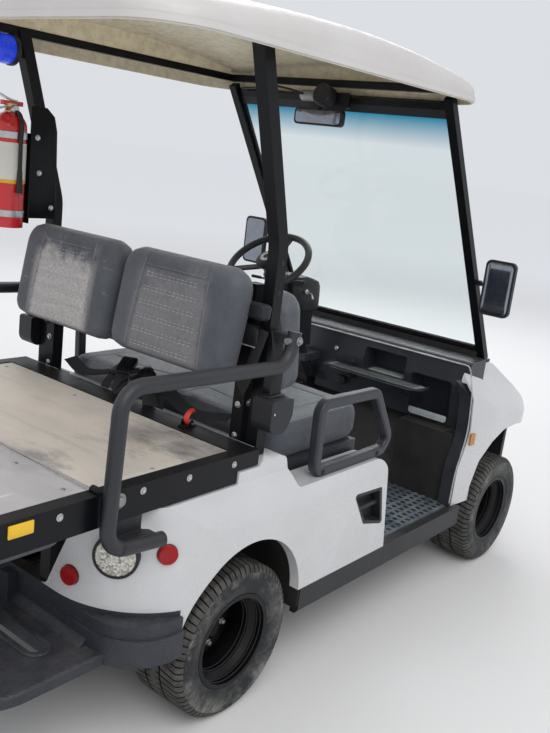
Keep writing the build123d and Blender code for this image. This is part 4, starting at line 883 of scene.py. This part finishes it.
# Cargo deck
def make_deck_trim():
    """Edging at the seam, worn edges, bolts and a reflector."""
    fixed, moving = Shape("deck_trim"), Shape("flip_trim", "flip_deck")
    half = 498
    for shape, x, wide in ((fixed, SEAM_X + 6.5, 7), (moving, SEAM_X - 6.5, 7)):
        shape.slab(rounded_rect(wide, 2 * half, 1.5, 2), at(x, 0, DECK_Z - 3.4), AHEAD, LEFT, 1.4, "wear", 0.4)
    for y0, y1 in ((-520, -120), (-60, 310), (360, 500)):
        steps = 40
        rows = []
        for k in range(steps + 1):
            y = y0 + (y1 - y0) * k / steps
            wide = 2.2 + 2.2 * max(0, noise.noise(Vector((y * 0.03, 2.0, 0))) + 0.35)
            rows.append([at(40.4 - wide, y, DECK_Z + 0.3), at(40.4, y, DECK_Z + 0.4),
                at(40.4, y, DECK_Z - wide * 0.7), at(39.8, y, DECK_Z - wide * 0.7), at(39.6, y, DECK_Z - 1),
                at(40.4 - wide, y, DECK_Z - 1)])
        fixed.rings(rows, "wear")
    for side in BOTH:
        out = (0, side, 0)
        for x, z in ((-228, 773), (-382, 776), (-60, 772)):
            fixed.bolt(at(x, side * (DECK_HALF - 0.5), z), out, 6, 5)
        fixed.bolt(at(-455, side * (DECK_HALF - 0.5), 768), out, 12.5, 11, "cast", 24)
        moving.bolt(at(-620, side * (DECK_HALF - 0.5), 772), out, 6, 5)
        moving.bolt(at(-860, side * (DECK_HALF - 0.5), 772), out, 6, 5)
        moving.slab(rounded_rect(62, 30, 3, 3), at(-718, side * DECK_HALF, 772), (-side, 0, 0), UP, 3, "yellow",
            0.8)
        for x, y in ((-552, 272), (-556, 462), (-552, 60), (-920, 272), (-920, 462), (-920, 60)):
            moving.spin([(7.5, 0), (7.5, 0.8), (6, 2.2), (3, 2.8)], at(x, side * y, DECK_Z - 3.1), UP, "steel",
                18)
        for x, y in ((-90, 462), (-90, 100), (-300, 480), (-465, 272)):
            fixed.spin([(6.5, 0), (6.5, 0.7), (5, 1.8), (2.5, 2.3)], at(x, side * y, DECK_Z - 3.1), UP, "wear",
                18)
    fixed.make()
    moving.make()


def make_latch():
    """The red latch: a curved lever on a black base with its spring pin."""
    shape = Shape("latch_lever")
    base = at(4, -295, DECK_Z)
    shape.slab(rounded_rect(52, 30, 5, 3), base, AHEAD, LEFT, 4, "black", 1)
    line = curve([base + Vector(p) for p in ((4, 0, 4), (-6, 0, 16), (-4, 0, 30), (6, 0, 41), (18, 0, 46),
        (21, 0, 40))])
    rows = []
    for i, p in enumerate(line):
        ahead = (line[min(i + 1, len(line) - 1)] - line[max(i - 1, 0)]).normalized()
        up = ahead.cross(Vector(LEFT))
        t = i / (len(line) - 1)
        wide, thick = 10.5 - 2 * t, 4.8 - 1.6 * t
        rows.append([p + Vector((0, wide * cos(a), 0)) + up * thick * sin(a)
            for a in [2 * pi * k / 14 for k in range(14)]])
    shape.rings(rows, "latch_red")
    shape.tube([base + Vector((6, -18, 9)), base + Vector((6, 18, 9))], 4, "steel", 12)
    for side in (-1, 1):
        shape.slab([(-12, 0), (14, 0), (12, 13), (6, 17), (0, 13)], base
            + Vector((0, side * 13.5 + (1.5 if side < 0 else -1.5) - 1.5 * side, 3.5)), (side * -1.0, 0, 0), UP,
            3, "black", 0.6)
    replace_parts(shape.make(), "deck_latch")


# Lamps
def corner_axis(turn, side, z, depth):
    """A place on a rear corner's lamp axis, depth outside the body, and the way it faces."""
    cx, cy, r = CORNER
    out = Vector((-cos(radians(turn)), side * sin(radians(turn)), 0))
    return at(cx, side * cy, z) + out * (r + depth), out


def make_lamps():
    shape = Shape("lamp_rims")
    for side in BOTH:
        for turn, z, r in ((34.5, 578, 55), (59.1, 588, 25), (10.0, 492, 25)):
            middle, out = corner_axis(turn, side, z, 0)
            if r > 50:
                shape.spin([(r + 4.5, -13), (r + 4.5, 9), (r + 4, 12.5), (r + 1.5, 14.5), (r - 2.5, 14.5),
                    (r - 3.5, 12)], middle, out, "rubber", 64, caps=False)
                dome = [(r - 3, 11.8)]
                dome += [(r * k, 12 + 4.2 * (1 - k * k)) for k in (0.92, 0.8, 0.6, 0.4, 0.2, 0.05)]
                shape.spin(dome, middle, out, "clear_lens", 48)
            else:
                shape.spin([(r + 2.2, -6), (r + 2.2, 1.5), (r + 1, 2.5)], middle, out, "rubber", 48, caps=False)
                shape.spin([(r + 0.8, 2), (r + 0.8, 10.5), (r - 0.6, 12.5), (r - 2.2, 12.9), (r - 3.2, 11.9)],
                    middle, out, "red_lens", 48, caps=False)
                dome = [(r * k, 11.9 + 2.6 * (1 - k * k)) for k in (0.9, 0.7, 0.5, 0.3, 0.1)]
                shape.spin(dome, middle, out, "red_lens", 40)
    shape.make(50)


# Struts: beacon, extinguisher, plates and belts
def make_bottle():
    """Dress of the fire extinguisher: bare label band, valve, gauge, hose, bracket and straps."""
    shape = Shape("bottle_dress")
    x, y, r = -98, STRUT_Y, 52
    middle = at(x, y, 0)

    def z(height):
        return middle + Vector((0, 0, height))
    shape.spin([(r + 0.3, 1405), (r + 0.9, 1405.5), (r + 0.9, 1517.5), (r + 0.3, 1518)], middle, UP, "label",
        64, caps=False)
    shape.spin([(r + 0.4, 1393.5), (r + 1.2, 1394), (r + 1.2, 1404.5), (r + 0.4, 1405)], middle, UP, "yellow",
        64, caps=False)
    for height in (1300, 1540):
        shape.spin([(r + 1, height - 11), (r + 2.5, height - 10), (r + 2.5, height + 10), (r + 1, height + 11)],
            middle, UP, "steel", 64, caps=False)
        shape.slab(rounded_rect(75, 22, 2, 2), at(x + 50, y - 12, height), AHEAD, UP, 2.2, "steel", 0.5)
    shape.spin([(19.5, 1602), (19.5, 1612), (16.5, 1615), (16.5, 1622), (20, 1624), (20, 1634), (14, 1637)],
        middle, UP, "brass", 28)
    shape.spin([(13.5, 0), (13.5, 8), (11.5, 10.5), (3, 10.8)], at(x, y - 19, 1617), RIGHT, "steel", 24)
    lever = curve([z(1643) + Vector(p) for p in ((18, 0, 0), (-10, 0, 4), (-45, 0, 16), (-80, 0, 24))])
    shape.strap(lever, 20, 4, LEFT, "steel")
    grip = curve([z(1622) + Vector(p) for p in ((0, 0, 0), (-30, 0, -2), (-60, 0, -12), (-85, 0, -16))])
    shape.strap(grip, 18, 5, LEFT, "steel")
    shape.tube(curve([z(1606) + Vector(p) for p in ((0, -12, 2), (4, -40, 0), (2, -60, -30), (0, -61.5, -90),
        (1, -61, -170))]), 6.5, "rubber", 12)
    shape.tube([z(1436) + Vector((1, -61, 0)), z(1400) + Vector((1.2, -61.2, 0)), z(1366)
        + Vector((1.4, -61.4, 0))], (7.5, 9.5, 11.5), "rubber", 14)
    shape.make()


def make_beacon_dress():
    shape = Shape("beacon_base")
    middle = at(-104, STRUT_Y, 1790)
    shape.spin([(30, -6), (45.5, -6), (46.5, -3), (46.5, 6), (44, 9)], middle, BACK, "plastic", 48)
    dome = [(42.5 * cos(k * pi / 2 / 7) ** 0.5, 46 + 14 * sin(k * pi / 2 / 7)) for k in range(7)]
    shape.spin([(42.4, 9), (42.7, 30), *dome, (1, 60.4)], middle, BACK, "blue", 48, caps=False)
    for height in (18, 30, 42):
        shape.spin([(42.5, height - 1.6), (43.6, height), (42.5, height + 1.6)], middle, BACK, "blue", 48,
            caps=False)
    shape.make(50)


def make_strut_plates():
    """Black plates, clamps and bolts on the canopy struts and the seat posts."""
    shape = Shape("strut_plates")
    for side in BOTH:
        for z in (1220, 1300):
            shape.bolt(at(85, side * (STRUT_Y + 18.5), z), (0, side, 0), 5, 4, "rubber")
        for z in (891, 955, 800, 1180):
            shape.bolt(at(54.5, side * 433, z), BACK, 6.5, 6)
        shape.bolt(at(75, side * 453.5, 900), (0, side, 0), 6.5, 6)
    outline = [(-38, -170), (64, -170), (74, -150), (62, 110), (50, 155), (20, 180), (-38, 180)]
    shape.slab(outline, at(0, STRUT_Y - 21.5, 1455), AHEAD, UP, 3, "black", 0.8)
    for x, z in ((-12, 1540), (0, 1430), (52, 1320)):
        shape.bolt(at(x, STRUT_Y - 24.5, z), RIGHT, 6, 5)
    shape.make()


def make_belts():
    """Shoulder belt anchors, guides and webbing at the posts, and the buckles between the seats."""
    shape = Shape("belts")
    for side in BOTH:
        y = side * 540
        up_line = curve([at(78, y, 940), at(82, side * 538, 1000), at(94, side * 515, 1090),
            at(98, side * 488, 1160), at(100, side * 476, 1190)], 6)
        shape.strap(up_line, 46, 1.6, AHEAD, "webbing")
        shape.slab([(-52, -30), (46, -30), (56, -20), (56, 18), (40, 28), (-40, 28), (-54, 16)],
            at(64, side * 430, 1098), RIGHT, UP, 22, "buckle", 5)
        shape.strap([at(41, side * (378 + 105 * k / 6), 1068.5) for k in range(7)], 3, 2.4, UP, "wear")
        shape.slab(rounded_rect(78, 46, 12, 5), at(60, side * 474, 1166), RIGHT, (0.12, 0, 1), 30, "plastic", 9,
            3)
        shape.bolt(at(41.5, side * 398, 1118), BACK, 6.2, 6, "steel", 20)
        shape.strap(curve([at(50, side * 500, 1120), at(35, side * 490, 1050), at(30, side * 475, 990),
            at(45, side * 440, 940)], 6), 46, 1.6, (0.3, 1, 0), "webbing")
        lid = rounded_rect(70, 24, 6, 3)
        shape.slab(lid, at(78, y, 941), AHEAD, LEFT, 6, "buckle", 2)
        shape.spin([(3.5, 0), (3.5, 3)], at(40, side * 575.5, 905), (0, side, 0), "steel", 12)
    for x, y, z, turn, lean in ((90, 75, 870, 0.5, 0.4), (100, 20, 862, -0.5, 0.2), (70, -50, 850, 0.9, 0.6),
            (115, 120, 850, -0.2, 0.5)):
        ahead = Vector((cos(turn) * cos(lean), sin(turn) * cos(lean), sin(lean)))
        across = Vector((-sin(turn), cos(turn), 0))
        up = ahead.cross(across) * -1
        place = at(x, y, z)
        shape.slab(rounded_rect(52, 82, 9, 4), place - up * 11, across, ahead, 22, "buckle", 5, 2)
        shape.slab(rounded_rect(30, 24, 4, 3), place - up * 12 + ahead * 24, across, ahead, 24.5, "plastic", 3)
        shape.strap(curve([place - ahead * 36, place - ahead * 75 + Vector((10, 0, -12)), place - ahead * 100
            + Vector((30, 0, -50)), at(x + 50, y * 0.8, 800)], 6), 46, 1.6, across, "webbing")
    for y0, y1 in ((140, 360), (-100, -380)):
        shape.strap(curve([at(110, y0, 835), at(70, (y0 + y1) / 2, 812), at(90, y1, 830)], 8), 46, 1.6,
            (1, 0, 0.3), "webbing")
    shape.make()


def make_rail_plates():
    """The folding grab rails' pivot plates, cut ends and pins."""
    shape = Shape("rail_plates")
    for side in BOTH:
        y = side * (DECK_HALF + 31)
        outline = [(-58, -16), (46, -20), (56, -10), (56, 12), (44, 22), (-30, 24), (-58, 12)]
        shape.slab(outline, at(-415, y - side * 12, 676), AHEAD, (0, side, 0), 12, "plastic", 4, 2)
        shape.spin([(16.5, 0), (18.5, 0.5), (19.2, 3), (19.2, 6), (0, 6)], at(-343, y, 652.1), (1, 0, -0.09),
            "rubber", 32, caps=False)
        shape.spin([(19.5, -2), (20.5, 0), (20.5, 10), (19.5, 12)], at(-474, y, 668), (1, 0, -0.1), "plastic",
            32, caps=False)
        shape.tube([at(60, y, 1105), at(105, y, 1105)], 9, "cast", 16)
        shape.bolt(at(90.5, y + side * 18.5, 1106), (0, side, 0), 8, 8, "cast")
    shape.make()


# Front
def glass_point(share, y):
    """A place on the windshield, share of the way from its foot to its head."""
    return at(1517, 0, 875).lerp(at(895, 0, 1845), share) + Vector((0, y, 0))


def make_screen_trim():
    """Rubber gasket round the glass, the top rail, the motor box with its arm, and the sill."""
    shape = Shape("screen_trim")
    half = 462
    low, high = 0.045, 0.94
    for a, b in (((low, -half), (high, -half)), ((high, -half), (high, half)), ((high, half), (low, half)),
            ((low, half), (low, -half))):
        ends = [glass_point(*a), glass_point(*b)]
        along = (ends[1] - ends[0]).normalized()
        across = Vector(LEFT) if abs(along.y) < 0.5 else (glass_point(1, 0) - glass_point(0, 0)).normalized()
        line = [ends[0].lerp(ends[1], k / 12) for k in range(13)]
        shape.strap(line, 20, 12, across, "rubber")
    band = [glass_point(0.935, y) for y in (-460, -200, 0, 200, 460)]
    shape.strap(band, 45, 14, (glass_point(1, 0) - glass_point(0, 0)).normalized(), "rubber")
    motor = at(872, -10, 1795)
    shape.spin([(0, 0), (34, 0), (38, 4), (38, 50), (33, 56), (0, 57)], motor, (-1, 0, 0.2), "plastic", 32,
        caps=False)
    shape.slab(rounded_rect(160, 55, 12, 4), at(885, -20, 1790), RIGHT, UP, 20, "black", 4, 3)
    shape.spin([(20, 0), (20, 60), (16, 66)], at(868, 45, 1800), LEFT, "cast", 24)
    shape.tube(curve([at(860, 80, 1800), at(820, 140, 1815), at(800, 200, 1820), at(840, 300, 1815),
        at(880, 420, 1812)]), 4, "rubber", 8)
    sill = [at(1495, y, 901) for y in (-462, -200, 0, 200, 462)]
    shape.strap(sill, 52, 14, (0.2, 0, 1), "rubber")
    shape.make()


def make_mirror_glass():
    shape = Shape("mirror_glass")
    for side in BOTH:
        middle = at(1262.5, side * 596, 1197)
        shape.slab(rounded_rect(102, 188, 18, 6), middle, RIGHT, UP, 1.8, "mirror", 0.6, 1.2)
        shape.slab(rounded_rect(112, 198, 20, 6), middle + Vector((1.6, 0, 0)), RIGHT, UP, 1.8, "rubber", 0.6)
    cabin = at(884.5, 42, 1730)
    shape.slab(rounded_rect(202, 46, 12, 6), cabin, RIGHT, UP, 1.8, "mirror", 0.6, 0.8)
    shape.make()


def make_dash_trim():
    """Seam line along the dash top, shelves, knobs and switches."""
    shape = Shape("dash_trim")
    line = [at(1333.5, 490 - 980 * k / 30, 870.5) for k in range(31)]
    rows = [[p + Vector(q) for q in ((-1.2, 0, -1.2), (2.2, 0, 2.2), (5.2, 0, 3.6), (2.6, 0, -1))]
        for p in line]
    shape.rings(rows, "wear")
    # The right pocket's shelf and its front lip are painted pale: a painted highlight.
    shape.slab(rounded_rect(165, 75, 8, 4), at(1370, -361, 617.5), LEFT, BACK, 3, "pale_plastic_and_highlight", 1.2)
    shape.slab(rounded_rect(175, 24, 6, 4), at(1338.5, -361, 632), RIGHT, UP, 2.5, "pale_plastic_and_highlight", 1)
    shape.slab(rounded_rect(175, 65, 8, 4), at(1378, -132.5, 741.5), LEFT, BACK, 3, "pale_plastic_and_highlight", 1.2)
    tray = [(-235, 0), (235, 0), (235, 50), (222, 80), (190, 92), (-190, 92), (-222, 80), (-235, 50)]
    shape.slab(tray, at(1329, -120, 740.5), RIGHT, BACK, 6, "pale_plastic_and_highlight", 2)
    lip = [at(1329 - x, -120 - y, 742) for y, x in tray[2:]]
    shape.tube(curve([at(1329, -355, 742), *lip, at(1329, 115, 742)], 4), 5, "dash", 10)
    for k in range(5):
        shape.slab(rounded_rect(400, 4, 1.8, 2), at(1318 - 16 * k, -120, 739.8), LEFT, BACK, 2.2, "rubber", 0.6)
    for y, z, r in ((-255, 700, 12), (20, 700, 12), (20, 760, 12)):
        shape.spin([(r * 1.3, 0), (r * 1.3, 3), (r, 5), (r * 0.92, 18), (r * 0.7, 21)], at(1327.5, y, z), BACK,
            "rubber", 24)
    shape.spin([(10, 0), (10, 10), (8, 12)], at(1327.5, 110, 800), BACK, "steel", 24)
    shape.slab(rounded_rect(50, 36, 6, 4), at(1327.5, 70, 665), RIGHT, UP, 6, "rubber", 2)
    for z in (655, 668, 681):
        shape.slab(rounded_rect(360, 4, 1.8, 2), at(1331.5, 340, z - 12), RIGHT, UP, 3, "rubber", 0.8)
    shape.make()


def make_housing():
    """Moulded shroud of the column under the wheel, with its dial, tell-tales and ribs."""
    shape = Shape("column_housing")
    rows = []
    for z, x0, x1, half in ((800, 1200, 1258, 36), (860, 1160, 1252, 38), (920, 1120, 1246, 41),
            (952, 1098, 1244, 44), (958, 1084, 1250, 62), (964, 1078, 1252, 67), (1000, 1060, 1252, 68),
            (1060, 1044, 1248, 68), (1078, 1043, 1236, 68), (1084, 1040, 1228, 70.5), (1094, 1043, 1196, 70.5),
            (1106, 1056, 1150, 66), (1110, 1066, 1130, 56)):
        mid, deep = (x0 + x1) / 2, (x1 - x0) / 2
        rows.append([at(mid + deep * copysign(abs(cos(a)) ** 0.36, cos(a)), 240
            + half * copysign(abs(sin(a)) ** 0.36, sin(a)), z) for a in [2 * pi * (k + 0.5) / 44
            for k in range(44)]])
    shape.rings(rows, "plastic")
    face = Vector((-1, 0, 0.25)).normalized()
    dial = at(1047, 240, 1045)
    shape.spin([(30, -4), (30, 3), (27, 5), (25, 3)], dial, face, "rubber", 40, caps=False)
    shape.spin([(25, 0.5), (2, 1.2)], dial, face, "label", 40)
    for y in (206, 274):
        shape.spin([(5, 0), (5, 4), (3, 6)], at(1052, y, 1078), face, "amber", 20)
    for z in (965, 980, 995):
        shape.slab(rounded_rect(100, 6, 2.8, 3), at(1150, 173.5, z), BACK, UP, 4, "rubber", 1)
    shape.spin([(11, 0), (11, 7), (9, 9)], at(1130, 174.5, 1045), RIGHT, "steel", 24)
    shape.tube([at(1130, 166, 1045), at(1132, 145, 1040), at(1136, 138, 1020)], (3, 3, 6), "steel", 10)
    shape.make()


def make_cheek_trim():
    """The pale bead that runs from the dash top round into the door trim, both sides."""
    shape = Shape("cheek_trim")
    for side in BOTH:
        line = curve([at(1333.5, side * 488, 871.5), at(1322, side * 517, 869), at(1285, side * 549, 842),
            at(1274.5, side * 566.5, 790), at(1288, side * 566.5, 720), at(1297.5, side * 566.5, 620),
            at(1276, side * 566.5, 530), at(1254, side * 566.5, 450), at(1247.5, side * 566.5, 335)], 8)
        shape.tube(line, 2.8, "wear", 8)
    shape.make()


def make_column():
    """Steering column shroud, its lever and the wheel's pad."""
    shape = Shape("column_shroud")
    tilt = radians(53)
    centre = at(945, 240, 1160)
    down = Vector((cos(tilt), 0, -sin(tilt)))
    across = Vector(LEFT)
    up = down.cross(across) * -1
    rows = []
    for d, wide, high in ((55, 30, 30), (62, 38, 36), (100, 40, 40), (160, 40, 40), (190, 30, 30)):
        middle = centre + down * d - up * 6
        rows.append([middle + across * (x * wide) + up * (y * high)
            for x, y in [(copysign(abs(cos(a)) ** 0.62, cos(a)), copysign(abs(sin(a)) ** 0.62, sin(a)))
            for a in [2 * pi * k / 28 for k in range(28)]]])
    shape.rings(rows, "plastic")
    shape.tube(curve([centre + down * 100 + across * 30, centre + down * 97 + across * 80, centre + down * 92
        + across * 120 + up * 6]), (4,) * 8 + (6.5,) * 9, "plastic", 12)
    shape.make()
    wheel = Shape("wheel_pad", "hand_wheel")
    hub = centre - down * 12
    wheel.spin([(0, -20), (36, -18), (46, -10), (49, 2), (44, 12)], hub, down, "plastic", 40, caps=False)
    wheel.spin([(12, -0.5), (24.5, 0), (25.5, 1.2), (24.5, 2.2), (12, 2.6)], hub - down * 20.5, down, "wear",
        36, caps=False)
    wheel.make()


def make_head_rims():
    """Rings round the head lamps, laid on the nose."""
    skin = nodes["front_cowl"].data
    cowl = BVHTree.FromPolygons([v.co / MM for v in skin.vertices], [p.vertices for p in skin.polygons])
    shape = Shape("head_rims")
    for side in BOTH:
        ring = []
        for k in range(61):
            turn = 2 * pi * k / 60
            start = at(2200, side * (HEAD_LAMP[0] + HEAD_LAMP[2] * cos(turn)), HEAD_LAMP[1]
                + HEAD_LAMP[2] * sin(turn))
            ring.append(cowl.ray_cast(start, Vector(BACK))[0] + Vector((2, 0, 0)))
        shape.tube(ring, 4.2, "plastic", 10)
    shape.make()


def make_restraint_trim():
    """The bolts that hold the moulded hip restraints."""
    shape = Shape("restraint_trim")
    for side in BOTH:
        y = side * (BODY_HALF - 36)
        for x, z in ((320, 676), (620, 676)):
            shape.bolt(at(x, y + side * 17.2, z), (0, side, 0), 6, 4, "rubber", 20)
    shape.make()


# Stage
FLOOR_COLOR = (0.8, 0.795, 0.79)
FAR_COLOR = (0.985, 0.985, 0.985)      # the floor fades to the sky's tone from FADE_FROM to FADE_TO
FADE_FROM, FADE_TO = 3.0, 14.0
SKY_COLOR = (0.93, 0.955, 1.0)
SKY_LEVEL = 0.77


def make_stage():
    bpy.ops.mesh.primitive_plane_add(size=600, location=(0, 0, 0))
    floor = bpy.context.object
    floor.name = "floor"
    g = Graph("floor")
    away = g.math("POWER", g.math("ADD", g.math("POWER", g.place(0), 2.0), g.math("POWER", g.place(1), 2.0)),
        0.5)
    near = g.mix(g.noise(1.5, 5), FLOOR_COLOR, tuple(c * 0.97 for c in FLOOR_COLOR))
    g.set(Base_Color=g.mix(g.ramp(away, FADE_FROM, FADE_TO), near, FAR_COLOR), Roughness=0.85,
        Specular_IOR_Level=0.0)
    floor.data.materials.append(g.material)


def area_light(name, place, aim, size, watts, color=(1, 1, 1)):
    data = bpy.data.lights.new(name, "AREA")
    data.size = size
    data.energy = watts
    data.color = color
    lamp = bpy.data.objects.new(name, data)
    lamp.location = place
    lamp.rotation_euler = (Vector(aim) - Vector(place)).to_track_quat("-Z", "Y").to_euler()
    bpy.context.scene.collection.objects.link(lamp)


def make_light():
    world = bpy.data.worlds.new("world")
    bpy.context.scene.world = world
    world.use_nodes = True
    tree = world.node_tree
    back = tree.nodes["Background"]
    back.inputs["Color"].default_value = (*SKY_COLOR, 1)
    back.inputs["Strength"].default_value = SKY_LEVEL
    area_light("key", (-3.5, -4.5, 6.0), (0, 0, 0.6), 4.5, 235, (1.0, 0.98, 0.95))
    area_light("rim", (4.5, 3.0, 5.0), (0, 0, 0.8), 4.0, 150)


bpy.context.scene.view_settings.view_transform = "Standard"
make_camera()
make_light()
make_stage()
paint_nodes()
for wheel_end in WHEELS:
    for wheel_side in SIDES:
        make_tyre(wheel_end, wheel_side)
make_wheel_hardware()
make_backrest("rear", *REAR_PAD, False)
make_backrest("front", *FRONT_PAD, True)
make_cushion()
make_bench()
make_deck_trim()
make_latch()
make_lamps()
make_bottle()
make_beacon_dress()
make_strut_plates()
make_belts()
make_rail_plates()
make_screen_trim()
make_mirror_glass()
make_dash_trim()
make_housing()
make_cheek_trim()
make_column()
make_restraint_trim()
make_head_rims()
